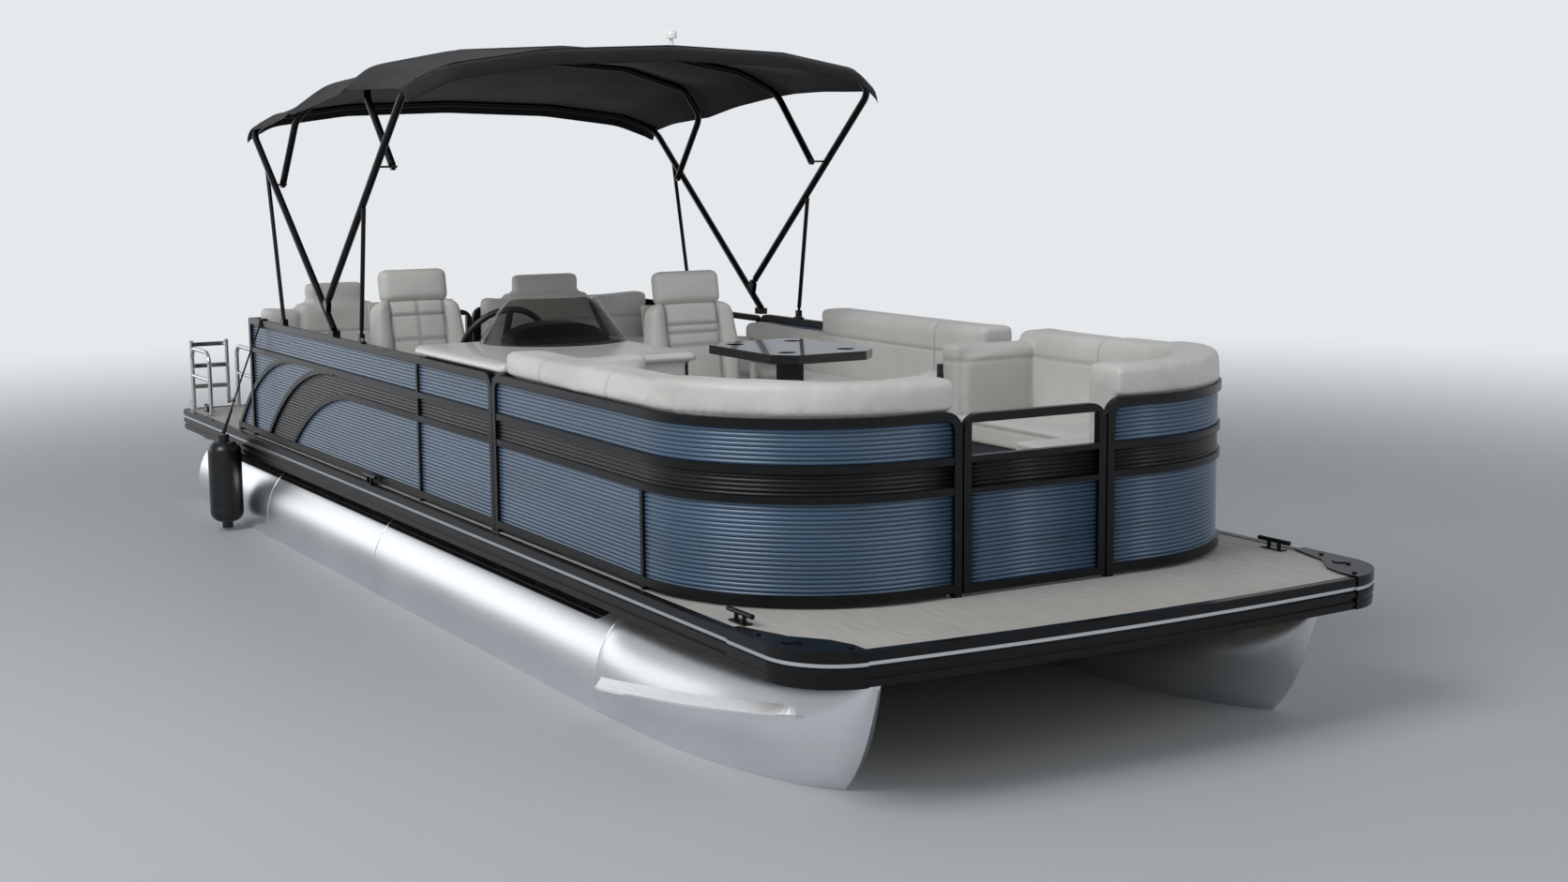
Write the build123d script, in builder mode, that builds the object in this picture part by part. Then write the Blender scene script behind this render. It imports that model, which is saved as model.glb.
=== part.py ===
"""Pontoon boat with two tubes, a fenced deck, lounges, a helm, a folding canopy and an outboard.

Millimetres. X points to the bow, Y to port and Z up. The origin lies on the waterline,
on the centreline, amidships. Heights in the tables are measured from the deck.
"""
from build123d import *
import os

os.makedirs("parts", exist_ok=True)

# Hull and deck
beam = 2590
deck_z = 552
deck_front = 3870
deck_aft = -3800
shoulder_x = 3825
shoulder_y = 1060
side_end_x = 3600
stern_radius = 60
notch_half = 380
notch_depth = 400
deck_board = 22
floor_sheet = 3
rail_reach = 20
flange_width = 37

# Tubes
tube_diameter = 635
tube_wall = 4
tube_y = 963
tube_top = -100
tube_aft = -3640
nose_start = 2250
nose_end = 3742
channel_depth = 50
channel_width = 60
channel_wall = 4
channel_count = 17
riser_wall = 6
riser_spread = 190

# Fence
fence_front = 3330
fence_side = 1250
fence_aft = -2370
bow_radius = 716
fence_tube = 32
band_tube = 27
bottom_rail = 18
band_low = 370
band_high = 477
top_rail = 635
panel_depth = 13
panel_skin = 4
top_corner = 68
joint_x = 1210
joint_gap = 6

# Gates: opening between the fence posts, and the gap that each gate keeps to them
gate_gap = 8
bow_gate_low = -343
bow_gate_high = 308
side_gate_low = -1500
side_gate_high = -880
stern_gate_low = -438
stern_gate_high = 88
gate_lift = 11
hinge_radius = 8
pin_radius = 4
pin_play = 0.05
hinge_stand = 8

# Seats
seat_height = 430
seat_thickness = 100
seat_depth = 640
back_thickness = 150
back_top = top_rail + 155
base_inset = 30
soft_gap = 0.3
seam_gap = 2
over_rail = 9
toe_kick = 60

# Motor
transom_x = -3560
tilt_z = -45
steer_x = -3700
propeller_x = -4060
propeller_z = -885
propeller_diameter = 380
shaft_radius = 14
bore_play = 0.05

# Canopy
bow_tube = 36
bow_side = 1234


def level(height):
    """The horizontal plane at a height above the deck."""
    return Plane.XY.offset(deck_z + height)


deck_side = beam / 2 - rail_reach
tube_radius = tube_diameter / 2
tube_centre_z = deck_z + tube_top - tube_radius

# The deck's outline, from which the floor, the rub rail and the corner castings take their edge.
with BuildSketch() as deck_plan:
    with BuildLine():
        bow_edge = ThreePointArc((shoulder_x, -shoulder_y), (deck_front, 0), (shoulder_x, shoulder_y))
        corner_mid = ((shoulder_x + side_end_x) / 2 + 58, (shoulder_y + deck_side) / 2 + 22)
        ThreePointArc((shoulder_x, shoulder_y), corner_mid, (side_end_x, deck_side))
        ThreePointArc((shoulder_x, -shoulder_y), (corner_mid[0], -corner_mid[1]), (side_end_x, -deck_side))
        Polyline(
            (side_end_x, deck_side),
            (deck_aft, deck_side),
            (deck_aft, notch_half),
            (deck_aft + notch_depth, notch_half),
            (deck_aft + notch_depth, -notch_half),
            (deck_aft, -notch_half),
            (deck_aft, -deck_side),
            (side_end_x, -deck_side),
        )
    make_face()
    stern_points = deck_plan.vertices().filter_by(lambda v: v.X < deck_aft + notch_depth + 1)
    fillet(stern_points, stern_radius)

# The fence's outline, from which rails, panels and seats take their place.
with BuildSketch() as fence_plan:
    with Locations(((fence_front + fence_aft) / 2, 0)):
        Rectangle(fence_front - fence_aft, 2 * fence_side)
    fillet(fence_plan.vertices().group_by(Axis.X)[-1], bow_radius)


def band(outer, inner):
    """The strip that lies between two distances inside the fence's outline."""
    with BuildSketch() as strip:
        if outer:
            offset(fence_plan.sketch, amount=-outer, kind=Kind.INTERSECTION, mode=Mode.ADD)
        else:
            add(fence_plan.sketch)
        offset(fence_plan.sketch, amount=-inner, kind=Kind.INTERSECTION, mode=Mode.SUBTRACT)
    return strip.sketch


# Pontoons: a rolled tube with a domed end, a pressed nose, a keel strip and a spray strake.
# Stations of the nose: distance forward, half width, top and bottom, heights from the deck.
nose_stations = [
    (nose_start, tube_radius, 0, 2 * tube_radius),
    (2650, 303, 0, 632),
    (3000, 262, 0, 612),
    (3290, 196, 0, 565),
    (3500, 122, 0, 478),
    (3650, 56, 0, 300),
    (nose_end, 16, 0, 60),
]
stem_line = [
    (2400, -634),
    (2650, -632),
    (3000, -612),
    (3290, -565),
    (3500, -478),
    (3650, -300),
    (nose_end, -60),
    (nose_end + 4, -2),
]


def nose(inset):
    """The nose as a solid, drawn in by an inset, on the centre plane of a tube."""
    with BuildPart() as shape:
        for x, half, top, depth in nose_stations:
            half_in = max(half - inset, 3)
            high = -top - inset
            low = -depth + inset if depth > 100 else -depth
            plane = Plane((x, 0, deck_z + tube_top), x_dir=(0, 1, 0), z_dir=(1, 0, 0))
            with BuildSketch(plane):
                with BuildLine():
                    middle = (high + low) / 2
                    ThreePointArc((0, high), (half_in, middle), (0, low))
                    ThreePointArc((0, low), (-half_in, middle), (0, high))
                make_face()
        loft()
    return shape.part


nose_skin = nose(0)
nose_hollow = nose(tube_wall)
nose_swell = nose(-34)

# Spray strake on the outer side of each nose.
strakes = {}
for side in (-1, 1):
    with BuildPart() as strake:
        with BuildSketch(Plane((2310, 0, deck_z - 424), x_dir=(1, 0, 0.109), z_dir=(-0.109, 0, 1))):
            with Locations((585, side * 200)):
                Rectangle(1170, 400)
        extrude(amount=8)
        add(nose_swell, mode=Mode.INTERSECT)
        add(nose_skin, mode=Mode.SUBTRACT)
    strakes[side] = strake.part

for side_name, side in (("starboard", -1), ("port", 1)):
    with BuildPart() as pontoon:
        with BuildSketch(Plane((tube_aft, 0, tube_centre_z), x_dir=(0, 1, 0), z_dir=(1, 0, 0))):
            Circle(tube_radius)
        extrude(amount=nose_start - tube_aft)
        fillet(pontoon.edges().sort_by(Axis.X)[0], tube_radius * 0.45)
        add(nose_skin)
        with BuildSketch(Plane((tube_aft + 150, 0, tube_centre_z), x_dir=(0, 1, 0), z_dir=(1, 0, 0))):
            Circle(tube_radius - tube_wall)
        extrude(amount=nose_start - tube_aft - 149, mode=Mode.SUBTRACT)
        add(nose_hollow, mode=Mode.SUBTRACT)
        with BuildSketch(Plane.XZ.offset(-10)):
            with BuildLine(Plane.XZ.offset(-10)):
                Polyline([(x, deck_z + tube_top + z) for x, z in stem_line])
            trace(line_width=18)
        extrude(amount=20)
        add(strakes[side])
    pontoon.part.position = (0, side * tube_y, 0)
    pontoon.part.label = side_name + "_pontoon"
    export_step(pontoon.part, "parts/" + side_name + "_pontoon.step")

# Risers: two long rails on each tube that carry the channels.
with BuildPart() as tube_risers:
    for side in (-1, 1):
        for reach in (-riser_spread / 2, riser_spread / 2):
            with BuildSketch(Plane.XY.offset(tube_centre_z + tube_radius - 30)):
                with Locations(((tube_aft + nose_start + 700) / 2, side * tube_y + reach)):
                    Rectangle(nose_start - tube_aft - 300, riser_wall)
            extrude(amount=30 - tube_top - deck_board - floor_sheet - channel_depth)
            with BuildSketch(level(-deck_board - floor_sheet - channel_depth - riser_wall)):
                with Locations(((tube_aft + nose_start + 700) / 2, side * tube_y + reach)):
                    Rectangle(nose_start - tube_aft - 300, 50)
            extrude(amount=riser_wall)
        with BuildSketch(Plane((tube_aft, side * tube_y, tube_centre_z), x_dir=(0, 1, 0), z_dir=(1, 0, 0))):
            Circle(tube_radius)
        extrude(amount=nose_start - tube_aft, mode=Mode.SUBTRACT)
        add(nose_skin.moved(Location((0, side * tube_y, 0))), mode=Mode.SUBTRACT)
tube_risers.part.label = "tube_risers"
export_step(tube_risers.part, "parts/tube_risers.step")

# Channels: pressed cross members under the deck, open below.
channel_top = -deck_board - floor_sheet
channel_first = deck_aft + notch_depth + 60
channel_last = side_end_x - 240
channel_pitch = (channel_last - channel_first) / (channel_count - 1)
with BuildPart() as cross_members:
    for number in range(channel_count):
        x = channel_first + number * channel_pitch
        with BuildSketch(Plane((x, -deck_side, deck_z + channel_top), x_dir=(1, 0, 0), z_dir=(0, 1, 0))):
            with Locations((0, channel_depth / 2)):
                Rectangle(channel_width, channel_depth)
            with Locations((0, channel_depth / 2 + channel_wall / 2)):
                Rectangle(channel_width - 2 * channel_wall, channel_depth - channel_wall, mode=Mode.SUBTRACT)
        extrude(amount=2 * deck_side)
    for side in (-1, 1):
        for x in (deck_aft + 90, deck_aft + notch_depth - 90):
            low = side * (notch_half + 30)
            high = side * deck_side
            with BuildSketch(level(channel_top - channel_depth)):
                with Locations((x, (low + high) / 2)):
                    Rectangle(channel_width, abs(high - low))
            extrude(amount=channel_depth)
cross_members.part.label = "cross_members"
export_step(cross_members.part, "parts/cross_members.step")

# Deck board and the woven floor laid on it.
with BuildPart() as deck_panel:
    with BuildSketch(level(-deck_board - floor_sheet)):
        add(deck_plan.sketch)
    extrude(amount=deck_board)
deck_panel.part.label = "deck_panel"
export_step(deck_panel.part, "parts/deck_panel.step")

with BuildPart() as floor_covering:
    with BuildSketch(level(-floor_sheet)):
        add(deck_plan.sketch)
    extrude(amount=floor_sheet)
floor_covering.part.label = "floor_covering"
export_step(floor_covering.part, "parts/floor_covering.step")

# Rub rail: bands that stand out from the deck's edge, and a flat flange on the floor.
rail_bands = [
    (-116, -102, 12),
    (-102, -88, 18),
    (-88, -70, 9),
    (-70, -50, rail_reach),
    (-50, -26, 13),
    (-26, 3, rail_reach),
]
with BuildPart() as rub_rail:
    for low, high, reach in rail_bands:
        with BuildSketch(level(low)):
            offset(deck_plan.sketch, amount=reach, kind=Kind.ARC, mode=Mode.ADD)
            add(deck_plan.sketch, mode=Mode.SUBTRACT)
        extrude(amount=high - low)
    with BuildSketch(level(0)):
        offset(deck_plan.sketch, amount=rail_reach, kind=Kind.ARC, mode=Mode.ADD)
        offset(deck_plan.sketch, amount=rail_reach - flange_width, kind=Kind.ARC, mode=Mode.SUBTRACT)
    extrude(amount=3)
rub_rail.part.label = "rub_rail"
export_step(rub_rail.part, "parts/rub_rail.step")

# Corner castings that cap the rub rail at both bow corners, with their bolts. Their skirts repeat its bands.
casting_skin = 6
casting_reach = 270
with BuildPart() as corner_castings:
    for side in (-1, 1):
        for low, high, reach in rail_bands:
            with BuildSketch(level(low)):
                skirt_reach = max(reach + casting_skin, rail_reach + 2)
                offset(deck_plan.sketch, amount=skirt_reach, kind=Kind.ARC, mode=Mode.ADD)
                offset(deck_plan.sketch, amount=reach, kind=Kind.ARC, mode=Mode.SUBTRACT)
                with Locations((side_end_x, side * (deck_side + 60 - casting_reach / 2))):
                    Rectangle(2 * casting_reach, casting_reach, mode=Mode.INTERSECT)
            extrude(amount=high - low)
        with BuildSketch(level(3)):
            offset(deck_plan.sketch, amount=rail_reach + casting_skin, kind=Kind.ARC, mode=Mode.ADD)
            with BuildLine():
                Polyline(
                    (side_end_x - casting_reach, side * (deck_side - 26)),
                    (side_end_x - 60, side * (deck_side - 90)),
                    (side_end_x + 60, side * (deck_side - 180)),
                    (shoulder_x - 70, side * (deck_side + 60 - casting_reach)),
                    (shoulder_x + 90, side * (deck_side + 60 - casting_reach)),
                    (shoulder_x + 90, side * (deck_side + 90)),
                    (side_end_x - casting_reach, side * (deck_side + 90)),
                    close=True,
                )
            make_face(mode=Mode.INTERSECT)
        extrude(amount=casting_skin)
        bolts = [
            (side_end_x - 130, deck_side - 22),
            (side_end_x + 60, deck_side - 70),
            (shoulder_x - 30, shoulder_y + 40),
        ]
        for x, y in bolts:
            with Locations((x, side * y, deck_z + 3 + casting_skin + 3)):
                Cylinder(9, 6)
        with Locations((side_end_x + 10, side * (deck_side - 58), deck_z + 3 + casting_skin + 2)):
            Cylinder(34, 4)
corner_castings.part.label = "corner_castings"
export_step(corner_castings.part, "parts/corner_castings.step")

# Mooring cleats on the flange.
cleat_places = [
    (3260, -1205),
    (3260, 1205),
    (-300, -1276),
    (-300, 1276),
    (deck_aft + 230, -1180),
    (deck_aft + 230, 1180),
]
with BuildPart() as deck_cleats:
    for x, y in cleat_places:
        seat_z = deck_z
        if abs(y) > fence_side:
            y = (1 if y > 0 else -1) * (beam / 2 - 19)
            seat_z = deck_z + 3
        with Locations((x, y, seat_z + 3)):
            Box(110, 34, 6)
        for step in (-28, 28):
            with Locations((x + step, y, seat_z + 6 + 13)):
                Cylinder(8, 28)
        with Locations(Location((x, y, seat_z + 6 + 30), (0, 90, 0))):
            Cylinder(9, 170)
deck_cleats.part.label = "deck_cleats"
export_step(deck_cleats.part, "parts/deck_cleats.step")

# Motor pod: a welded box between the tubes, open to the notch, with the transom at its end.
pod_half = 300
pod_front = -2650
pod_top = -118
transom_top = -87
pod_bottom = -560
pod_wall = 8
with BuildPart() as motor_pod:
    with BuildSketch(Plane.XZ.offset(-pod_half)):
        with BuildLine():
            Polyline(
                (transom_x + 40, deck_z + pod_top),
                (pod_front, deck_z + pod_top),
                (pod_front + 40, deck_z + pod_top - 80),
                (pod_front - 240, deck_z + pod_bottom),
                (transom_x + 40, deck_z + pod_bottom),
                close=True,
            )
        make_face()
    extrude(amount=2 * pod_half)
    with BuildSketch(Plane.XZ.offset(-pod_half + pod_wall)):
        with BuildLine():
            Polyline(
                (transom_x + 48, deck_z + pod_top - pod_wall),
                (pod_front - 8, deck_z + pod_top - pod_wall),
                (pod_front + 20, deck_z + pod_top - 80),
                (pod_front - 244, deck_z + pod_bottom + pod_wall),
                (transom_x + 48, deck_z + pod_bottom + pod_wall),
                close=True,
            )
        make_face()
    extrude(amount=2 * (pod_half - pod_wall), mode=Mode.SUBTRACT)
    with BuildSketch(Plane((transom_x, 0, deck_z), x_dir=(0, 1, 0), z_dir=(1, 0, 0))):
        with Locations((0, (transom_top + pod_bottom) / 2)):
            Rectangle(2 * pod_half, transom_top - pod_bottom)
    extrude(amount=40)
    hanger_length = pod_front - deck_aft - notch_depth - 60
    for side in (-1, 1):
        with Locations((pod_front - hanger_length / 2, side * (pod_half - 10),
                        deck_z + (pod_top + channel_top - channel_depth) / 2)):
            Box(hanger_length, 20, channel_top - channel_depth - pod_top)
motor_pod.part.label = "motor_pod"
export_step(motor_pod.part, "parts/motor_pod.step")

# Fence rails: heights of each rail above the deck and how deep it is.
rails = [
    (bottom_rail, bottom_rail + fence_tube, fence_tube),
    (band_low, band_low + band_tube, band_tube),
    (band_high, band_high + band_tube, band_tube),
    (top_rail, top_rail + fence_tube, fence_tube),
]
rail_top = top_rail + fence_tube
rail_floor = bottom_rail + fence_tube

# Posts: centre and size along X and Y, and the heights they run between.
post_step = (joint_gap + fence_tube) / 2
post_in = fence_tube / 2
side_y = fence_side - post_in
front_x = fence_front - post_in
back_x = fence_aft + post_in
trim_tube = 22
posts = [
    (front_x, bow_gate_low - post_in, fence_tube, fence_tube, 0, rail_top),
    (front_x, bow_gate_high + post_in, fence_tube, fence_tube, 0, rail_top),
    (back_x, stern_gate_low - post_in, fence_tube, fence_tube, 0, rail_top),
    (back_x, stern_gate_high + post_in, fence_tube, fence_tube, 0, rail_top),
    (side_gate_low - post_in, side_y, fence_tube, fence_tube, 0, rail_top),
    (side_gate_high + post_in, side_y, fence_tube, fence_tube, 0, rail_top),
]
for side in (-1, 1):
    posts += [
        (back_x, side * side_y, fence_tube, fence_tube, 0, rail_top),
        (joint_x - post_step, side * side_y, fence_tube, fence_tube, 0, rail_top),
        (joint_x + post_step, side * side_y, fence_tube, fence_tube, 0, rail_top),
        (310, side * side_y, trim_tube, band_tube, 0, rail_top - 1),
        (2600, side * side_y, trim_tube, band_tube, 0, band_low + 1),
    ]

# Rounded top corners: the frame's end, the way back into the frame, and the plane it lies in.
corners = [
    ("y", front_x, bow_gate_low, -1),
    ("y", front_x, bow_gate_high, 1),
    ("y", back_x, stern_gate_low, -1),
    ("y", back_x, stern_gate_high, 1),
    ("x", side_y, side_gate_low, -1),
    ("x", side_y, side_gate_high, 1),
]
for side in (-1, 1):
    corners += [
        ("x", side * side_y, joint_x - joint_gap / 2, -1),
        ("x", side * side_y, joint_x + joint_gap / 2, 1),
    ]


def corner_tools(way, across, end, inward, height):
    """The cut and the bend that turn a frame's square top corner into a rounded one."""
    origin = (end, across, deck_z + height) if way == "x" else (across, end, deck_z + height)
    along = (inward, 0, 0) if way == "x" else (0, inward, 0)
    normal = (0, -inward, 0) if way == "x" else (inward, 0, 0)
    plane = Plane(origin, x_dir=along, z_dir=normal)
    with BuildPart() as cut:
        with BuildSketch(plane):
            with Locations((top_corner / 2, -top_corner / 2)):
                Rectangle(top_corner, top_corner)
            with Locations((top_corner, -top_corner)):
                Circle(top_corner, mode=Mode.SUBTRACT)
        extrude(amount=fence_tube / 2 + 1, both=True)
    with BuildPart() as bend:
        with BuildSketch(plane):
            with Locations((top_corner, -top_corner)):
                Circle(top_corner)
                Circle(top_corner - fence_tube, mode=Mode.SUBTRACT)
            with Locations((top_corner / 2, -top_corner / 2)):
                Rectangle(top_corner, top_corner, mode=Mode.INTERSECT)
        extrude(amount=fence_tube / 2, both=True)
    return cut.part, bend.part


# Arches at the stern of each side: foot, tip and height of the tip's upper edge.
arch_foot = -2660
arches = [
    (arch_foot, -1530, band_high + band_tube),
    (-2100, -900, band_high + band_tube - 4),
    (-1660, -580, band_low + band_tube),
]
arch_base = bottom_rail + 10


def arch_radius(foot, tip, top):
    """Radius of an arch that is level at its tip."""
    return ((tip - foot) ** 2 + (top - arch_base) ** 2) / (2 * (top - arch_base))


def under_arch(foot, tip, top, inset):
    """The side view below an arch, between its foot and its tip."""
    radius = arch_radius(foot, tip, top)
    with BuildSketch() as field:
        with Locations((tip, top - radius)):
            Circle(radius - inset)
        with Locations(((foot + tip) / 2, (arch_base + top) / 2)):
            Rectangle(tip - foot, top - arch_base, mode=Mode.INTERSECT)
    return field.sketch


def side_plane(side, depth):
    """The side view's plane at a depth inside one side of the fence."""
    return Plane((0, side * (fence_side - depth), deck_z), x_dir=(1, 0, 0), z_dir=(0, -1, 0))


gate_openings = [
    (front_x, (bow_gate_low + bow_gate_high) / 2, 3 * fence_tube, bow_gate_high - bow_gate_low),
    (back_x, (stern_gate_low + stern_gate_high) / 2, 3 * fence_tube, stern_gate_high - stern_gate_low),
    ((side_gate_low + side_gate_high) / 2, side_y, side_gate_high - side_gate_low, 3 * fence_tube),
]

with BuildPart() as fence_tubes:
    for low, high, depth in rails:
        with BuildSketch(level(low)):
            add(band((fence_tube - depth) / 2, (fence_tube + depth) / 2))
        extrude(amount=high - low)
    with Locations(((fence_aft + arches[2][1]) / 2, 0, deck_z + band_low + band_tube / 2)):
        Box(arches[2][1] - fence_aft + 2, 2 * fence_side + 2, band_tube + 2, mode=Mode.SUBTRACT)
    for side in (-1, 1):
        for foot, tip, top in arches:
            with BuildSketch(side_plane(side, fence_tube / 2)):
                add(under_arch(foot, tip, top, 0))
                add(under_arch(foot, tip, top, band_tube), mode=Mode.SUBTRACT)
            extrude(amount=band_tube / 2, both=True)
        with Locations(((arch_foot + fence_aft) / 2, side * side_y, deck_z + bottom_rail + post_in)):
            Box(fence_aft - arch_foot + 2, fence_tube, fence_tube)
        with Locations((arch_foot + 20, side * side_y, deck_z + bottom_rail / 2)):
            Box(40, fence_tube, bottom_rail)
    for x, y, size_x, size_y, low, high in posts:
        with Locations((x, y, deck_z + (low + high) / 2)):
            Box(size_x, size_y, high - low)
    with Locations((joint_x, 0, deck_z + rail_top / 2)):
        Box(joint_gap, 3 * fence_side, rail_top + 2, mode=Mode.SUBTRACT)
    for x, y, size_x, size_y in gate_openings:
        with Locations((x, y, deck_z + rail_top / 2)):
            Box(size_x, size_y, rail_top + 2, mode=Mode.SUBTRACT)
    for way, across, end, inward in corners:
        cut, bend = corner_tools(way, across, end, inward, rail_top)
        add(cut, mode=Mode.SUBTRACT)
        add(bend)

# Skins of the fence, drawn as the side view and the plan view leave them between the tubes.
with BuildPart() as skin_posts:
    for x, y, size_x, size_y, low, high in posts:
        with Locations((x, y, deck_z + (low + high) / 2)):
            Box(size_x, size_y, high - low)
    for way, across, end, inward in corners:
        add(corner_tools(way, across, end, inward, rail_top)[1])
    with Locations((joint_x, 0, deck_z + rail_top / 2)):
        Box(joint_gap, 3 * fence_side, rail_top + 2)
    for x, y, size_x, size_y in gate_openings:
        with Locations((x, y, deck_z + rail_top / 2)):
            Box(size_x, size_y, rail_top + 2)
skin_strip = band(panel_depth, panel_depth + panel_skin)
with BuildPart() as band_skin:
    with BuildSketch(level(band_low + band_tube)):
        add(skin_strip)
    extrude(amount=band_high - band_low - band_tube)
    with Locations(((fence_aft - 100 + arches[2][1]) / 2, 0, deck_z + 430)):
        Box(arches[2][1] - fence_aft + 100, 3 * fence_side, 200, mode=Mode.SUBTRACT)
    for side in (-1, 1):
        with BuildSketch(side_plane(side, panel_depth + panel_skin / 2)):
            add(under_arch(arches[1][0], arches[1][1], arches[1][2], band_tube))
            with Locations(((arches[1][1] + arches[2][1]) / 2, (band_low + band_high) / 2 + 10)):
                Rectangle(arches[2][1] - arches[1][1], band_high - band_low - 20)
            with Locations(((arches[2][0] + arches[2][1]) / 2, (rail_floor + band_high) / 2)):
                Rectangle(3000, band_high - rail_floor, mode=Mode.INTERSECT)
            add(under_arch(arches[2][0], arches[2][1], arches[2][2], 0), mode=Mode.SUBTRACT)
        extrude(amount=panel_skin / 2, both=True)
    add(skin_posts.part, mode=Mode.SUBTRACT)
band_skin.part.label = "fence_bands"
export_step(band_skin.part, "parts/fence_bands.step")

with BuildPart() as blue_skin:
    for low, high in ((rail_floor, band_low), (band_high + band_tube, top_rail)):
        with BuildSketch(level(low)):
            add(skin_strip)
        extrude(amount=high - low)
    with Locations(((fence_aft + arches[2][1]) / 2 - 1, 0, deck_z + (rail_floor + band_high) / 2)):
        Box(arches[2][1] - fence_aft - 2, 3 * fence_side, band_high - rail_floor, mode=Mode.SUBTRACT)
    for side in (-1, 1):
        with BuildSketch(side_plane(side, panel_depth + panel_skin / 2)):
            with Locations(((fence_aft + panel_depth + arches[0][1]) / 2, (rail_floor + band_high) / 2)):
                Rectangle(arches[0][1] - fence_aft - panel_depth, band_high - rail_floor)
            add(under_arch(arches[0][0], arches[0][1], arches[0][2], 0), mode=Mode.SUBTRACT)
            add(under_arch(arches[0][0], arches[0][1], arches[0][2], band_tube))
            with Locations(((arches[0][1] + arches[1][1]) / 2, (rail_floor + band_high) / 2)):
                Rectangle(arches[1][1] - arches[0][1], band_high - rail_floor)
            add(under_arch(arches[1][0], arches[1][1], arches[1][2], 0), mode=Mode.SUBTRACT)
            add(under_arch(arches[2][0], arches[2][1], arches[2][2], band_tube))
            with Locations(((arches[0][0] + arches[2][1]) / 2, (rail_floor + band_high) / 2)):
                Rectangle(3000, band_high - rail_floor, mode=Mode.INTERSECT)
        extrude(amount=panel_skin / 2, both=True)
    with BuildSketch(Plane((fence_aft + panel_depth, 0, deck_z), x_dir=(0, 1, 0), z_dir=(1, 0, 0))):
        with Locations((0, (rail_floor + band_high) / 2)):
            Rectangle(2 * (fence_side - fence_tube), band_high - rail_floor)
    extrude(amount=panel_skin)
    add(skin_posts.part, mode=Mode.SUBTRACT)
blue_skin.part.label = "fence_panels"
export_step(blue_skin.part, "parts/fence_panels.step")


# Gates. Each is drawn from its hinge line: X runs along the gate and Y points out of the boat.
gate_top = rail_top - 12
knuckle_heights = (115, 560)
knuckle = 36
hinge_y = -(fence_tube / 2 + hinge_stand)


def hinge_leaf(low_x, high_x):
    """The hinge leaves at both heights, as plates on the inner face of a tube."""
    with BuildPart() as leaves:
        for height in knuckle_heights:
            with Locations(((low_x + high_x) / 2, -(fence_tube / 2 + 2), height)):
                Box(high_x - low_x, 4, knuckle)
    return leaves.part


def gate_parts(width):
    """A gate's frame, its blue skin, its black skin, and the fixed half of its hinges."""
    with BuildPart() as frame:
        with BuildSketch(Plane.XZ):
            with Locations((width / 2, (gate_lift + gate_top) / 2)):
                outer = Rectangle(width, gate_top - gate_lift)
            fillet(frame_top(outer), top_corner)
            with Locations((width / 2, (gate_lift + gate_top) / 2)):
                Rectangle(width - 2 * fence_tube, gate_top - gate_lift - 2 * fence_tube, mode=Mode.SUBTRACT)
            for low in (band_low, band_high + 8):
                with Locations((width / 2, low + 10)):
                    Rectangle(width - fence_tube, 20)
        extrude(amount=fence_tube / 2, both=True)
        with Locations((width - 22, -(fence_tube / 2 + 8), gate_top - 90)):
            Box(34, 16, 60)
        with Locations((width + 4, -(fence_tube / 2 + 9), gate_top - 90)):
            Box(36, 5, 18)
        add(hinge_leaf(0, 26))
        for height in knuckle_heights:
            with Locations((-gate_gap / 2, hinge_y, height)):
                Cylinder(hinge_radius, knuckle)
                Cylinder(pin_radius + pin_play, knuckle, mode=Mode.SUBTRACT)
    with BuildPart() as blue:
        with Locations((width / 2, 0, (gate_lift + fence_tube + band_low) / 2)):
            Box(width - 2 * fence_tube, panel_skin, band_low - gate_lift - fence_tube)
    with BuildPart() as black:
        with Locations((width / 2, 0, (band_low + 20 + band_high + 8) / 2)):
            Box(width - 2 * fence_tube, panel_skin, band_high + 8 - band_low - 20)
    with BuildPart() as fixed:
        for height in knuckle_heights:
            for step in (-1, 1):
                end_z = height + step * (knuckle / 2 + 0.5 + 8)
                with Locations((-gate_gap / 2, hinge_y, end_z)):
                    Cylinder(hinge_radius, 16)
                with Locations((-gate_gap - 12, -(fence_tube / 2 + 2), end_z)):
                    Box(24, 4, 16)
            with Locations((-gate_gap / 2, hinge_y, height)):
                Cylinder(pin_radius, knuckle + 4)
    return frame.part, blue.part, black.part, fixed.part


def frame_top(outline):
    """The two upper corners of an upright rectangle."""
    return outline.vertices().group_by(Axis.Y)[-1]


# Name, place and turn of each gate's hinge line, and the gate's width.
gates = [
    ("bow_gate", (front_x, bow_gate_high - gate_gap), -90, bow_gate_high - bow_gate_low),
    ("side_gate", (side_gate_low + gate_gap, side_y), 0, side_gate_high - side_gate_low),
    ("stern_gate", (back_x, stern_gate_low + gate_gap), 90, stern_gate_high - stern_gate_low),
]
fixed_hinges = []
for gate_name, (x, y), turn, opening in gates:
    place = Location((x, y, deck_z), (0, 0, turn))
    width = opening - 2 * gate_gap
    frame_piece, blue_piece, black_piece, fixed_piece = gate_parts(width)
    fixed_hinges.append(place * fixed_piece)
    with BuildPart() as gate:
        add(place * frame_piece)
    gate.part.label = gate_name
    export_step(gate.part, "parts/" + gate_name + ".step")
    with BuildPart() as gate_skins:
        add(place * blue_piece)
        add(place * black_piece)
    gate_skins.part.label = gate_name + "_skins"
    export_step(gate_skins.part, "parts/" + gate_name + "_skins.step")

# The fence's tubes as three pieces: starboard, port and stern.
stern_width = 2 * (fence_side - fence_tube)
with BuildPart() as starboard_fence:
    add(fence_tubes.part)
    with Locations((0, beam / 2, 0)):
        Box(9000, beam, 4000, mode=Mode.SUBTRACT)
    with Locations((back_x, 0, deck_z + rail_top / 2)):
        Box(fence_tube, stern_width, rail_top + 4, mode=Mode.SUBTRACT)
starboard_fence.part.label = "starboard_fence"
export_step(starboard_fence.part, "parts/starboard_fence.step")

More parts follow.
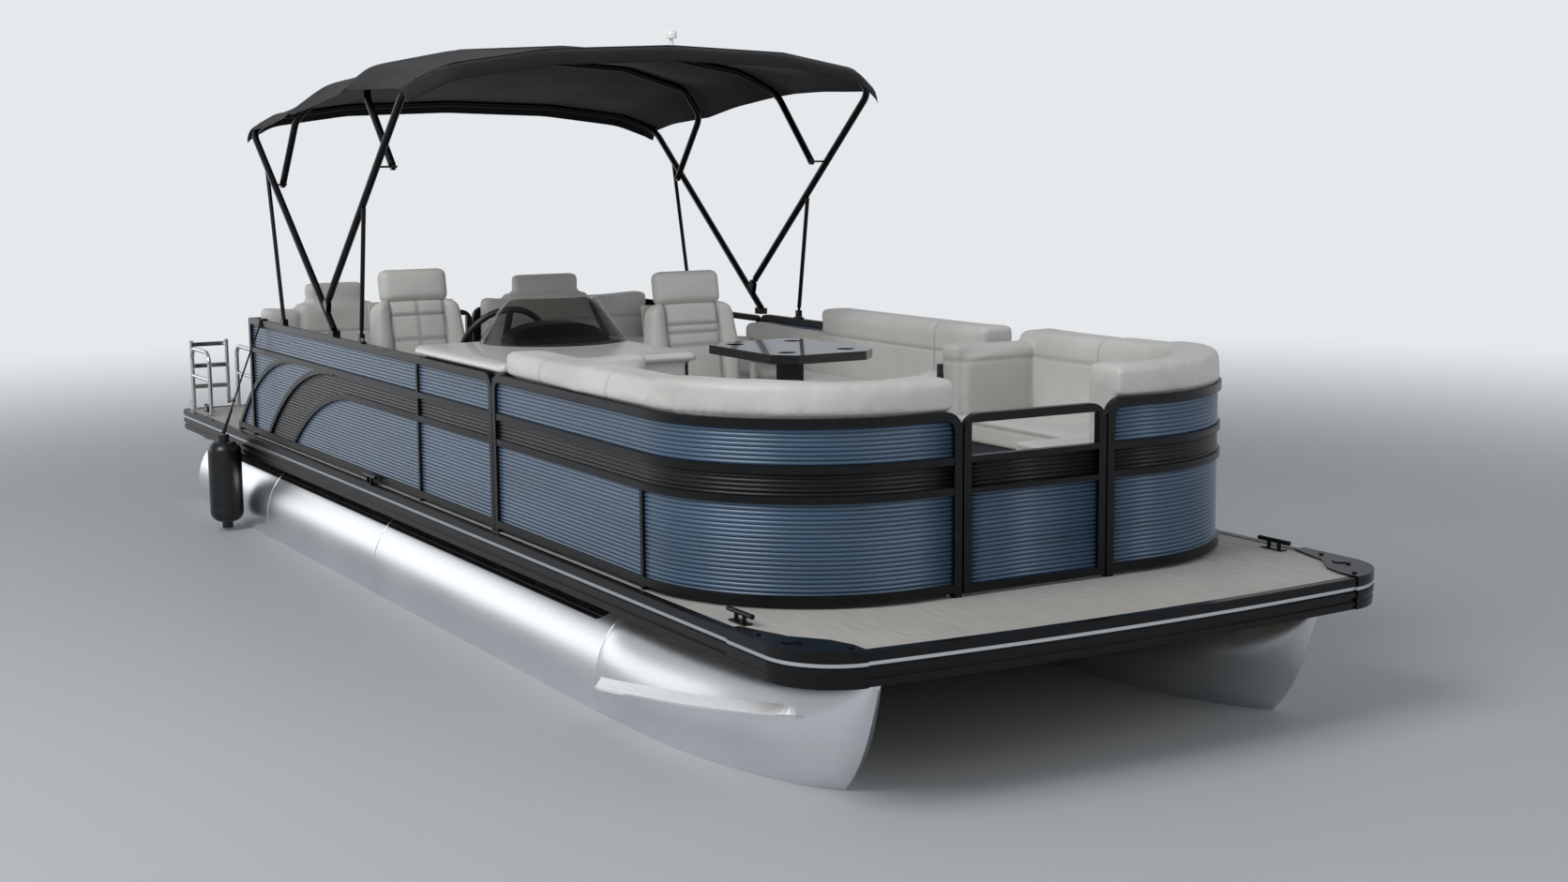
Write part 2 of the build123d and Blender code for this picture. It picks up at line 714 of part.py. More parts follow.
with BuildPart() as port_fence:
    add(fence_tubes.part)
    with Locations((0, -beam / 2, 0)):
        Box(9000, beam, 4000, mode=Mode.SUBTRACT)
    with Locations((back_x, 0, deck_z + rail_top / 2)):
        Box(fence_tube, stern_width, rail_top + 4, mode=Mode.SUBTRACT)
    add(fixed_hinges[0])
    add(fixed_hinges[1])
port_fence.part.label = "port_fence"
export_step(port_fence.part, "parts/port_fence.step")

with BuildPart() as stern_fence:
    add(fence_tubes.part)
    with Locations((back_x, 0, deck_z + rail_top / 2)):
        Box(fence_tube, stern_width, rail_top + 4, mode=Mode.INTERSECT)
    add(fixed_hinges[2])
stern_fence.part.label = "stern_fence"
export_step(stern_fence.part, "parts/stern_fence.step")

# Lounges at the bow. Bases, seats and backs follow the fence's outline; each row clips one piece.
base_height = seat_height - seat_thickness
back_in = fence_tube + 4
seat_in = back_in + back_thickness + soft_gap
lounge_end_starboard = bow_gate_low - 24
lounge_end_port = bow_gate_high + 40
back_low = band(back_in, back_in + back_thickness)
back_high = band(4, back_in + back_thickness)
seat_strip = band(seat_in, seat_depth)
base_strip = band(back_in, seat_depth - base_inset)
kick_strip = band(back_in, seat_depth - base_inset - toe_kick)
clip_far = fence_front + 50


def clipped(strip, clip, low, high):
    """A strip of the fence's outline, cut to a box in plan and raised between two heights."""
    x0, x1, y0, y1 = clip
    with BuildPart() as piece:
        with BuildSketch(level(low)):
            add(strip)
            with Locations(((x0 + x1) / 2, (y0 + y1) / 2)):
                Rectangle(x1 - x0, y1 - y0, mode=Mode.INTERSECT)
        extrude(amount=high - low)
    return piece.part


def back_piece(clip, top):
    """A back cushion that rolls over the fence's top rail, with eased upper edges."""
    with BuildPart() as piece:
        add(clipped(back_high, clip, rail_top + over_rail, top))
        fillet(piece.edges().group_by(Axis.Z)[-1], 30)
        add(clipped(back_low, clip, base_height, rail_top + over_rail + 1))
    return piece.part


def block(x0, x1, y0, y1, low, high, ease=0):
    """A block between plan limits and heights, with its upper and corner edges eased."""
    with BuildPart() as piece:
        with Locations(((x0 + x1) / 2, (y0 + y1) / 2, deck_z + (low + high) / 2)):
            Box(x1 - x0, y1 - y0, high - low)
        if ease:
            fillet(piece.edges().filter_by(Axis.Z), ease)
            fillet(piece.edges().group_by(Axis.Z)[-1], ease * 0.8)
    return piece.part


seam = seam_gap / 2
starboard_aft = 1330
port_aft = 1730
lounges = [
    ("starboard", -1, starboard_aft, 2030, lounge_end_starboard),
    ("port", 1, port_aft, 2330, lounge_end_port),
]
base_parts = []
for side_name, side, aft, middle, end in lounges:
    corner = fence_front - bow_radius + 36
    inner_end = abs(end)
    far = clip_far

    def clip(x0, x1, near=0.0):
        """Plan limits on one side of the boat."""
        ys = sorted((side * near, side * far))
        return (x0, x1, ys[0], ys[1])

    with BuildPart() as lounge_base:
        add(clipped(kick_strip, clip(aft + 20, far, inner_end + 20), 0, toe_kick))
        add(clipped(base_strip, clip(aft, far, inner_end), toe_kick, base_height - soft_gap))
        board_ys = sorted((side * (fence_side - seat_depth + 30), side * (fence_side - back_in)))
        add(block(aft, aft + 18, board_ys[0], board_ys[1], base_height - 1, 640))
    base_parts.append(lounge_base.part)

    with BuildPart() as lounge_seats:
        first = aft + 18 + 130 + 2 * soft_gap
        add(clipped(seat_strip, clip(first, middle - seam), base_height, seat_height))
        add(clipped(seat_strip, clip(middle + seam, corner - seam), base_height, seat_height))
        add(clipped(seat_strip, clip(corner + seam, far, inner_end), base_height, seat_height))
    lounge_seats.part.label = side_name + "_lounge_seats"
    export_step(lounge_seats.part, "parts/" + side_name + "_lounge_seats.step")

    with BuildPart() as lounge_backs:
        add(back_piece(clip(aft + 18 + soft_gap, middle - seam, 400), back_top - 12))
        add(back_piece(clip(middle + seam, corner - seam, 400), back_top - 6))
        add(back_piece(clip(corner + seam, far, inner_end), back_top))
        ys = sorted((side * (fence_side - seat_depth + 30), side * (fence_side - seat_in)))
        add(block(aft + 18 + soft_gap, aft + 148, ys[0], ys[1], base_height, back_top - 55, 28))
    lounge_backs.part.label = side_name + "_lounge_backs"
    export_step(lounge_backs.part, "parts/" + side_name + "_lounge_backs.step")

# Side couch to port: base, three seats, a low back, a rolled back and an arm at each end.
couch_depth = 500
couch_aft = -800
couch_fore = 1500
couch_in = fence_side - couch_depth
couch_wall = fence_side - back_in
arm_length = 150
with BuildPart() as couch_base:
    add(block(couch_aft + 20, couch_fore - 20, couch_in + base_inset + toe_kick, couch_wall, 0, toe_kick))
    add(block(couch_aft, couch_fore, couch_in + base_inset, couch_wall, toe_kick, base_height - soft_gap))
base_parts.append(couch_base.part)

with BuildPart() as couch_cushions:
    seat_low = couch_aft + arm_length + seam_gap
    seat_high = couch_fore - arm_length - seam_gap
    seat_third = (seat_high - seat_low) / 3
    for number in range(3):
        low_x = seat_low + number * seat_third + seam
        high_x = seat_low + (number + 1) * seat_third - seam
        seat_wall = couch_wall - back_thickness - soft_gap
        add(block(low_x, high_x, couch_in, seat_wall, base_height, seat_height, 24))
    for low_x, high_x in ((couch_aft, couch_aft + arm_length), (couch_fore - arm_length, couch_fore)):
        add(block(low_x, high_x, couch_in + 20, couch_wall - back_thickness - soft_gap, base_height, 560, 40))
couch_cushions.part.label = "couch_seats"
export_step(couch_cushions.part, "parts/couch_seats.step")

with BuildPart() as couch_backs:
    add(block(couch_aft, 30 - seam, couch_wall - back_thickness, couch_wall, base_height, 630, 36))
    roll_low = rail_top + over_rail
    back_y = couch_wall - back_thickness
    add(block(30 + seam, couch_fore, back_y, fence_side - 4, roll_low, back_top - 20, 36))
    add(block(30 + seam, couch_fore, back_y, couch_wall, base_height, roll_low + 1, 0))
couch_backs.part.label = "couch_backs"
export_step(couch_backs.part, "parts/couch_backs.step")

# Stern benches on both sides of the stern gate, each with a raised headrest.
bench_back_x = fence_aft + fence_tube + 6
bench_front_x = bench_back_x + 640
benches = [
    ("starboard", -1210, stern_gate_low - 22, -950, -620),
    ("port", stern_gate_high + 22, 1170, 310, 720),
]
with BuildPart() as bench_bases:
    for bench_name, y0, y1, head_low, head_high in benches:
        add(block(bench_back_x, bench_front_x - 90, y0, y1, 0, toe_kick))
        add(block(bench_back_x, bench_front_x - 30, y0, y1, toe_kick, base_height - soft_gap))
base_parts.append(bench_bases.part)
with BuildPart() as seat_bases:
    add(base_parts)
seat_bases.part.label = "seat_bases"
export_step(seat_bases.part, "parts/seat_bases.step")

with BuildPart() as bench_seats:
    for bench_name, y0, y1, head_low, head_high in benches:
        middle = (y0 + y1) / 2
        for low_y, high_y in ((y0, middle - seam), (middle + seam, y1)):
            seat_x = bench_back_x + 160 + soft_gap
            add(block(seat_x, bench_front_x, low_y, high_y, base_height, seat_height + 20, 24))
bench_seats.part.label = "bench_seats"
export_step(bench_seats.part, "parts/bench_seats.step")

with BuildPart() as bench_backs:
    for bench_name, y0, y1, head_low, head_high in benches:
        low_mid = head_low - 60
        high_mid = head_high + 60
        if low_mid - y0 > 120:
            add(block(bench_back_x, bench_back_x + 160, y0, low_mid - seam, base_height, 720, 36))
        if y1 - high_mid > 60:
            add(block(bench_back_x, bench_back_x + 160, high_mid + seam, y1, base_height, 720, 28))
        add(block(bench_back_x, bench_back_x + 160, low_mid + seam, high_mid - seam, base_height, 750, 36))
        add(block(bench_back_x + 20, bench_back_x + 130, head_low, head_high, 750 + soft_gap, 862, 36))
bench_backs.part.label = "bench_backs"
export_step(bench_backs.part, "parts/bench_backs.step")

# Helm console: a hollow moulded body, a top that laps over the fence, and a dash.
console_aft = 300
console_fore = 1290
console_in = -340
console_out = -(fence_side - 40)
console_skin = 8
console_lid = rail_top + over_rail + 40
console_top = console_lid - 26
console_x = (console_aft + console_fore) / 2
console_y = (console_in + console_out) / 2
with BuildPart() as helm_console:
    with Locations((console_x, console_y, deck_z + console_top / 2)):
        Box(console_fore - console_aft, console_in - console_out, console_top)
    fillet(helm_console.edges().filter_by(Axis.Z), 60)
    lid_low = rail_top + over_rail
    lid_out = -(fence_side - 4)
    add(block(console_aft - 30, console_fore + 20, lid_out, console_in + 20, lid_low, console_lid, 36))
    inner_length = console_fore - console_aft - 2 * console_skin
    inner_width = console_in - console_out - 2 * console_skin
    with Locations((console_x, console_y, deck_z + console_top / 2 - 10)):
        Box(inner_length, inner_width, console_top - 20, mode=Mode.SUBTRACT)
helm_console.part.label = "helm_console"
export_step(helm_console.part, "parts/helm_console.step")

dash_y = -630
dash_half = 235
wheel_centre = (75, -720, console_lid - 66)
wheel_radius = 215
wheel_tube = 15
column_slope = (-0.906, 0, 0.423)
column_length = 150
lever_x = console_aft - 48
lever_z = console_lid - 200
wheel_plane = Plane(
    (wheel_centre[0], wheel_centre[1], deck_z + wheel_centre[2]), x_dir=(0, 1, 0), z_dir=column_slope
)
with BuildPart() as helm_dash:
    with BuildSketch(Plane((0, dash_y - dash_half, deck_z), x_dir=(1, 0, 0), z_dir=(0, -1, 0))):
        with BuildLine():
            Polyline(
                (330, console_lid),
                (330, console_lid + 49),
                (400, console_lid + 90),
                (545, console_lid + 84),
                (640, console_lid + 34),
                (650, console_lid),
                close=True,
            )
        make_face()
    extrude(amount=-2 * dash_half)
    fillet(helm_dash.edges().filter_by(Axis.Y).group_by(Axis.Z)[-1], 30)
    with BuildSketch(wheel_plane.offset(-20 - soft_gap)):
        Circle(42)
    extrude(amount=-column_length * 2)
    with Locations((console_aft + 300, wheel_centre[1] - 40, deck_z + 300)):
        Box(600, 400, 820, mode=Mode.SUBTRACT)
    add(block(lever_x - 48, console_aft, -1075, -985, lever_z - 36, lever_z + 24, 16))
    with BuildSketch(Plane((lever_x, -975, deck_z + lever_z), x_dir=(1, 0, 0), z_dir=(0, 1, 0))):
        Circle(20)
    extrude(amount=-14)
    with BuildSketch(Plane((lever_x, -977, deck_z + lever_z), x_dir=(1, 0, 0), z_dir=(0, -1, 0))):
        with Locations((-10, 42)):
            Rectangle(20, 95)
    extrude(amount=-14)
    with Locations((lever_x - 12, -970, deck_z + lever_z + 98)):
        Box(40, 66, 34)
helm_dash.part.label = "helm_dash"
export_step(helm_dash.part, "parts/helm_dash.step")

with BuildPart() as steering_wheel:
    with BuildSketch(Plane(wheel_plane.origin, x_dir=(0, 1, 0), z_dir=(0.423, 0, 0.906))):
        with Locations((wheel_radius, 0)):
            Circle(wheel_tube)
    revolve(axis=Axis(wheel_plane.origin, column_slope), revolution_arc=360)
    with BuildSketch(wheel_plane.offset(-20)):
        Circle(46)
    extrude(amount=36)
    for turn in (-10, 190, 270):
        with BuildSketch(wheel_plane.offset(-5)):
            with Locations(Location((0, 0), turn)):
                with Locations((wheel_radius / 2 + 12, 0)):
                    Rectangle(wheel_radius - 30, 34)
        extrude(amount=10)
steering_wheel.part.label = "steering_wheel"
export_step(steering_wheel.part, "parts/steering_wheel.step")

# Windscreen: a bent smoked sheet that leans aft.
screen_y = -630
screen_skin = 5
screen_top = console_lid + 209
with BuildPart() as windscreen:
    for height, aft, fore, half in ((console_lid, 330, 800, 320), (screen_top, 410, 600, 160)):
        with BuildSketch(level(height)):
            with BuildLine():
                outer = ThreePointArc((aft, screen_y - half), (fore, screen_y), (aft, screen_y + half))
                inner = ThreePointArc(
                    (aft, screen_y - half + screen_skin),
                    (fore - screen_skin, screen_y),
                    (aft, screen_y + half - screen_skin),
                )
                Line(outer @ 0, inner @ 0)
                Line(outer @ 1, inner @ 1)
            make_face()
    loft()
windscreen.part.label = "windscreen"
export_step(windscreen.part, "parts/windscreen.step")

# Captain's chairs: pedestal on the deck, a shell that swivels on it, and its cushions.
chair_pan = 330
chair_width = 520
chair_depth = 480
chair_lean = (0.985, 0, 0.174)
chairs = [("helm_chair", -830, -735), ("companion_chair", 210, 330)]
pedestals = []
for chair_name, chair_x, chair_y in chairs:
    with BuildPart() as pedestal:
        with Locations((chair_x, chair_y, deck_z + 6)):
            Cylinder(170, 12)
        with Locations((chair_x, chair_y, deck_z + 12 + 20)):
            Cone(80, 50, 40)
        with Locations((chair_x, chair_y, deck_z + (chair_pan - 32) / 2)):
            Cylinder(45, chair_pan - 32)
        with Locations((chair_x, chair_y, deck_z + chair_pan - 32 + 4)):
            Cylinder(90, 8)
    pedestals.append(pedestal.part)

    back_x = chair_x - chair_depth / 2 + 20
    back_plane = Plane(
        (back_x, chair_y, deck_z + chair_pan + 10), x_dir=(0, 1, 0), z_dir=chair_lean
    )
    with BuildPart() as shell:
        with Locations((chair_x, chair_y, deck_z + chair_pan - 24 + 0.5 + 6)):
            Cylinder(100, 12)
        with Locations((chair_x - 22, chair_y, deck_z + chair_pan - 6)):
            Box(chair_depth - 16, chair_width - 80, 12)
        with BuildSketch(back_plane.offset(-4)):
            with Locations((0, 230)):
                Rectangle(chair_width - 60, 500)
            with Locations((0, 520)):
                Rectangle(200, 160)
        extrude(amount=-14)
        for step in (-1, 1):
            with Locations((chair_x - 60, chair_y + step * (chair_width / 2 + 10), deck_z + chair_pan + 90)):
                Box(50, 14, 190)
            with Locations((chair_x - 60, chair_y + step * (chair_width / 2 - 40), deck_z + chair_pan - 4)):
                Box(50, 114, 8)
    shell.part.label = chair_name + "_shell"
    export_step(shell.part, "parts/" + chair_name + "_shell.step")

    with BuildPart() as cushions:
        seat_z = chair_pan + soft_gap
        seat_aft = chair_x - chair_depth / 2 + 124
        seat_front = chair_x + chair_depth / 2 + 20
        seat_side = chair_width / 2 - 2
        add(block(seat_aft, seat_front, chair_y - seat_side, chair_y + seat_side, seat_z, seat_z + 110, 36))
        for low, high, width, thick in ((12, 480, chair_width, 100), (480 + soft_gap, 640, 350, 90)):
            with BuildSketch(back_plane.offset(-4 + soft_gap)):
                with Locations((0, (low + high) / 2)):
                    Rectangle(width, high - low)
            extrude(amount=thick)
        fillet(cushions.edges().filter_by(lambda e: e.center().Z > deck_z + seat_z + 150), 26)
        for step in (-1, 1):
            arm_y = chair_y + step * (chair_width / 2 + 44)
            arm_low = chair_pan + 185 + soft_gap
            arm_in = arm_y - 40 + step * 0.5
            add(block(chair_x - 150, chair_x + 190, arm_in, arm_y + 40, arm_low, arm_low + 70, 24))
    cushions.part.label = chair_name + "_cushions"
    export_step(cushions.part, "parts/" + chair_name + "_cushions.step")

with BuildPart() as chair_pedestals:
    add(pedestals)
chair_pedestals.part.label = "chair_pedestals"
export_step(chair_pedestals.part, "parts/chair_pedestals.step")

# Table on a square pedestal.
table_x = 1200
table_y = 200
table_length = 740
table_width = 520
table_height = 700
table_skin = 40
with BuildPart() as table_leg:
    add(block(table_x - 110, table_x + 110, table_y - 110, table_y + 110, 0, 10, 0))
    add(block(table_x - 45, table_x + 45, table_y - 45, table_y + 45, 10, table_height - table_skin - 20, 0))
    add(block(table_x - 160, table_x + 160, table_y - 120, table_y + 120, table_height - table_skin - 20,
              table_height - table_skin, 0))
table_leg.part.label = "table_leg"
export_step(table_leg.part, "parts/table_leg.step")

with BuildPart() as table_top:
    with BuildSketch(level(table_height - table_skin)):
        with Locations((table_x, table_y)):
            Rectangle(table_length, table_width)
    extrude(amount=table_skin)
    chamfer(table_top.edges().filter_by(Axis.Z), 85)
    for step_x in (-1, 1):
        for step_y in (-1, 1):
            with Locations((table_x + step_x * 235, table_y + step_y * 150, deck_z + table_height - 12)):
                Cylinder(41, 24, mode=Mode.SUBTRACT)
table_top.part.label = "table_top"
export_step(table_top.part, "parts/table_top.step")

# Canopy frame. Each bow is an inverted U in a leaning plane: foot, tip of its straight leg, half width.
canopy_foot = rail_top + 33
bow_bend = 170
rail_foot = (-887, canopy_foot)
vee = (-1003, canopy_foot + 104)
vee_pivot = (-981, canopy_foot + 132)
bow_inset = bow_tube + 7
rib_side = bow_side - bow_inset
aft_rib_foot = (-1799, canopy_foot + 717)
fore_rib_foot = (-182, canopy_foot + 817)
bows = {
    "canopy_aft_bow": (rail_foot, (-2179, canopy_foot + 1007), bow_side, 0),
    "canopy_fore_bow": (vee_pivot, (255, canopy_foot + 1172), bow_side, 0),
    "canopy_aft_rib": (aft_rib_foot, (-1504, canopy_foot + 1074), rib_side, 10),
    "canopy_fore_rib": (fore_rib_foot, (-543, canopy_foot + 1182), rib_side - bow_inset, 10),
}
rib_rise = {
    "canopy_aft_bow": 260,
    "canopy_fore_bow": 280,
    "canopy_aft_rib": 385,
    "canopy_fore_rib": 315,
}


def bow_plane(foot, tip):
    """The leaning plane of a bow: X to port, Y along its legs."""
    run = (tip[0] - foot[0], tip[1] - foot[1])
    length = (run[0] ** 2 + run[1] ** 2) ** 0.5
    up = (run[0] / length, 0, run[1] / length)
    normal = (up[2], 0, -up[0])
    return Plane((foot[0], 0, deck_z + foot[1]), x_dir=(0, 1, 0), z_dir=normal), length


def bow_points(half, length, rise):
    """The corner points of a bow, from its port foot over the crown to its starboard foot."""
    rows = [(1, 0), (1, length), (0.86, length + 0.5 * rise), (0.5, length + 0.87 * rise), (0, length + rise)]
    near = [(half * share, along) for share, along in rows]
    return near + [(-x, y) for x, y in reversed(near[:-1])]


def bow_part(foot, tip, half, start, rise, radius):
    """A bow as one bent tube."""
    plane, length = bow_plane(foot, tip)
    points = bow_points(half, length, rise)
    points[0] = (points[0][0], start)
    points[-1] = (points[-1][0], start)
    with BuildPart() as tube:
        with BuildLine(plane):
            FilletPolyline(*points, radius=bow_bend)
        place = plane.location * Location((half, start, 0), (-90, 0, 0))
        with BuildSketch(Plane(place)):
            Circle(radius)
        sweep()
    return tube.part


pivot_radius = 12
lug_play = 0.05
bow_bodies = {}
for bow_name, (foot, tip, half, start) in bows.items():
    bow_bodies[bow_name] = bow_part(foot, tip, half, start, rib_rise[bow_name], bow_tube / 2)

aft_plane, aft_length = bow_plane(*bows["canopy_aft_bow"][:2])
fore_plane, fore_length = bow_plane(*bows["canopy_fore_bow"][:2])


def cross_pin(x, z, y0, y1, radius):
    """A pin that runs across the boat between two distances from the centre plane."""
    with BuildPart() as pin:
        with BuildSketch(Plane((x, y0, deck_z + z), x_dir=(1, 0, 0), z_dir=(0, 1, 0))):
            Circle(radius)
        extrude(amount=y1 - y0)
    return pin.part


brace_foot = (-470, canopy_foot)
brace_tip = (-368, canopy_foot + 622)
aft_brace_foot = (-1740, canopy_foot - 16)
aft_brace_tip = (-1935, canopy_foot + 805)
with BuildPart() as canopy_aft_bow:
    add(bow_bodies["canopy_aft_bow"])
    for side in (-1, 1):
        near = side * bow_side
        # clamp on the rail, with the bow's foot in it
        with Locations((rail_foot[0], near, deck_z + rail_top + 0.5 * (rail_foot[1] - rail_top))):
            Box(70, bow_tube + 4, rail_foot[1] - rail_top)
        # cheeks of the middle pivot
        for step in (-11, 11):
            with BuildSketch(Plane((0, near + step + 2, deck_z), x_dir=(1, 0, 0), z_dir=(0, -1, 0))):
                with BuildLine():
                    Polyline(
                        (vee[0] - 40, vee[1] + 4),
                        (vee[0] + 30, vee[1] - 40),
                        (vee_pivot[0] + 26, vee_pivot[1] - 4),
                        (vee_pivot[0] + 2, vee_pivot[1] + 24),
                        close=True,
                    )
                make_face()
            extrude(amount=4)
        add(cross_pin(vee_pivot[0], vee_pivot[1], near - 13, near + 13, 5))
        # pin that carries the aft rib
        rib_foot = bows["canopy_aft_rib"][0]
        pin_y = sorted((near - side * 2, side * (bow_side - bow_inset - 22)))
        add(cross_pin(rib_foot[0], rib_foot[1], pin_y[0], pin_y[1], 5))
canopy_aft_bow.part.label = "canopy_aft_bow"
export_step(canopy_aft_bow.part, "parts/canopy_aft_bow.step")

with BuildPart() as canopy_fore_bow:
    add(bow_bodies["canopy_fore_bow"])
    for side in (-1, 1):
        near = side * bow_side
        with Locations((vee_pivot[0] + 6, near, deck_z + vee_pivot[1] + 5)):
            Box(60, 60, 60, mode=Mode.SUBTRACT)
        lug_place = (vee_pivot[0], near + 8.5, deck_z + vee_pivot[1])
        with BuildSketch(Plane(lug_place, x_dir=(1, 0, 0), z_dir=(0, -1, 0))):
            Circle(pivot_radius)
            with Locations(Location((32, 27), 40.3)):
                Rectangle(60, 20)
            Circle(5 + lug_play, mode=Mode.SUBTRACT)
        extrude(amount=17)
        rib_foot = bows["canopy_fore_rib"][0]
        pin_y = sorted((near - side * 2, side * (bow_side - 2 * bow_inset - 22)))
        add(cross_pin(rib_foot[0], rib_foot[1], pin_y[0], pin_y[1], 5))
canopy_fore_bow.part.label = "canopy_fore_bow"
export_step(canopy_fore_bow.part, "parts/canopy_fore_bow.step")

for rib_name in ("canopy_aft_rib", "canopy_fore_rib"):
    foot, tip, half, start = bows[rib_name]
    with BuildPart() as rib:
        add(bow_bodies[rib_name])
        for side in (-1, 1):
            eye = (foot[0], side * half, deck_z + foot[1])
            with BuildSketch(Plane(eye, x_dir=(1, 0, 0), z_dir=(0, -1, 0))):
                Circle(17)
            extrude(amount=10, both=True)
            with BuildSketch(Plane(eye, x_dir=(1, 0, 0), z_dir=(0, -1, 0))):
                Circle(5 + lug_play)
            extrude(amount=20, both=True, mode=Mode.SUBTRACT)
    rib.part.label = rib_name
    export_step(rib.part, "parts/" + rib_name + ".step")

with BuildPart() as canopy_stays:
    for side in (-1, 1):
        near = side * bow_side
        run = (aft_brace_tip[0] - aft_brace_foot[0], 0, aft_brace_tip[1] - aft_brace_foot[1])
        stay_foot = (aft_brace_foot[0], near, deck_z + aft_brace_foot[1])
        with BuildSketch(Plane(stay_foot, x_dir=(0, 1, 0), z_dir=run)):
            Circle(11)
        extrude(amount=(run[0] ** 2 + run[2] ** 2) ** 0.5)
        with Locations((aft_brace_foot[0], near, deck_z + (rail_top + aft_brace_foot[1] + 16) / 2)):
            Box(56, 30, aft_brace_foot[1] + 16 - rail_top)
        with Locations((brace_foot[0], near, deck_z + rail_top + 4)):
            Box(60, 30, 8)
        for step in (-10, 10):
            with Locations((brace_foot[0], near + step, deck_z + (rail_top + 8 + brace_foot[1] + 12) / 2)):
                Box(30, 4, brace_foot[1] + 12 - rail_top - 8)
        add(cross_pin(brace_foot[0], brace_foot[1], near - 12, near + 12, 4))
        leg_foot = (aft_plane.origin.X, near, aft_plane.origin.Z)
        with BuildSketch(Plane(leg_foot, x_dir=(0, 1, 0), z_dir=aft_plane.y_dir)):
            Circle(bow_tube / 2)
        extrude(amount=aft_length, mode=Mode.SUBTRACT)
canopy_stays.part.label = "canopy_stays"
export_step(canopy_stays.part, "parts/canopy_stays.step")

with BuildPart() as canopy_fore_stays:
    for side in (-1, 1):
        near = side * bow_side
        run = (brace_tip[0] - brace_foot[0], 0, brace_tip[1] - brace_foot[1])
        stay_foot = (brace_foot[0], near, deck_z + brace_foot[1])
        stay_plane = Plane(stay_foot, x_dir=(0, 1, 0), z_dir=run)
        with BuildSketch(stay_plane):
            Circle(7.5)
        extrude(amount=30)
        with BuildSketch(stay_plane.offset(28)):
            Circle(11)
        extrude(amount=(run[0] ** 2 + run[2] ** 2) ** 0.5 - 28)
        eye_place = (brace_foot[0], near + 7.5, deck_z + brace_foot[1])
        with BuildSketch(Plane(eye_place, x_dir=(1, 0, 0), z_dir=(0, -1, 0))):
            Circle(10)
        extrude(amount=15)
        add(cross_pin(brace_foot[0], brace_foot[1], near - 20, near + 20, 4 + lug_play), mode=Mode.SUBTRACT)
        leg_foot = (fore_plane.origin.X, near, fore_plane.origin.Z)
        with BuildSketch(Plane(leg_foot, x_dir=(0, 1, 0), z_dir=fore_plane.y_dir)):
            Circle(bow_tube / 2 + 2)
        extrude(amount=fore_length, mode=Mode.SUBTRACT)
canopy_fore_stays.part.label = "canopy_fore_stays"
export_step(canopy_fore_stays.part, "parts/canopy_fore_stays.step")

light_stem = 9
light_x = fore_plane.origin.X + fore_plane.y_dir.X * (fore_length + rib_rise["canopy_fore_bow"])
light_z = fore_plane.origin.Z + fore_plane.y_dir.Z * (fore_length + rib_rise["canopy_fore_bow"])

# Canopy cloth: one sheet laid over the bows, as a closed solid between leaning sections.
cloth_lift = bow_tube / 2 + 18.6
cloth_skin = 10
sections = [
    ("canopy_aft_bow", -70, -50),
    ("canopy_aft_bow", 0, 0),
    ("canopy_aft_rib", 0, 0),
    ("canopy_fore_rib", 0, 0),
    ("canopy_fore_bow", 0, 0),
    ("canopy_fore_bow", 70, -50),
]
with BuildPart() as canopy_cloth:
    for bow_name, step_x, step_z in sections:
        foot, tip, half, start = bows[bow_name]
        plane, length = bow_plane(foot, tip)
        moved = Plane(plane.origin + Vector(step_x, 0, step_z), x_dir=plane.x_dir, z_dir=plane.z_dir)
        spread = bow_side / half
        over = cloth_lift + cloth_skin
        outer = bow_points(half * spread + over, length, rib_rise[bow_name] + over)
        inner = bow_points(half * spread + cloth_lift, length, rib_rise[bow_name] + cloth_lift)
        with BuildSketch(moved):
            with BuildLine():
                Polyline(*outer[1:-1])
                Polyline(*inner[1:-1])
                Line(outer[1], inner[1])
                Line(outer[-2], inner[-2])
            make_face()
    loft(ruled=True)
    with Locations((light_x, 0, light_z + 30)):
        Cylinder(light_stem + 3, 200, mode=Mode.SUBTRACT)
canopy_cloth.part.label = "canopy_cloth"
export_step(canopy_cloth.part, "parts/canopy_cloth.step")

# White all-round light on a short stem from the forward bow's crown.
light_low = cloth_lift + cloth_skin + 2
with BuildPart() as canopy_light:
    with Locations((light_x, 0, light_z + light_low + 18)):
        Cylinder(26, 36)
    fillet(canopy_light.edges().group_by(Axis.Z)[-1], 16)
    with Locations((light_x, 0, light_z + light_low / 2 + 3)):
        Cylinder(light_stem, light_low - 2)
    add(bow_bodies["canopy_fore_bow"], mode=Mode.SUBTRACT)
canopy_light.part.label = "canopy_light"
export_step(canopy_light.part, "parts/canopy_light.step")

# Outboard: clamp on the transom, swivel bracket, leg with its gear case, cowl and propeller.
tilt_x = transom_x - 40
plate_y = 86
plate_skin = 20
tilt_pin = 12
steer_pin = 20
cowl_low = 12
vent_plate = propeller_z + propeller_diameter / 2 + 12
torpedo = 60
with BuildPart() as motor_clamp:
    for side in (-1, 1):
        inner = side * plate_y if side > 0 else side * (plate_y + plate_skin)
        with BuildSketch(Plane((0, inner, deck_z), x_dir=(1, 0, 0), z_dir=(0, -1, 0))):
            with BuildLine():
                Polyline(
                    (transom_x, transom_top),
                    (transom_x + 32, transom_top),
                    (transom_x + 32, transom_top + 22),
                    (tilt_x + 28, tilt_z + 24),
                    (tilt_x - 16, tilt_z + 24),
                    (tilt_x - 30, tilt_z - 20),
                    (tilt_x, -300),
                    (tilt_x + 14, -420),
                    (transom_x, -420),
                    close=True,
                )
            make_face()
        extrude(amount=-plate_skin)
    tilt_place = (tilt_x, -plate_y - plate_skin, deck_z + tilt_z)
    with BuildSketch(Plane(tilt_place, x_dir=(1, 0, 0), z_dir=(0, 1, 0))):
        Circle(tilt_pin)
    extrude(amount=2 * (plate_y + plate_skin))
motor_clamp.part.label = "motor_clamp"
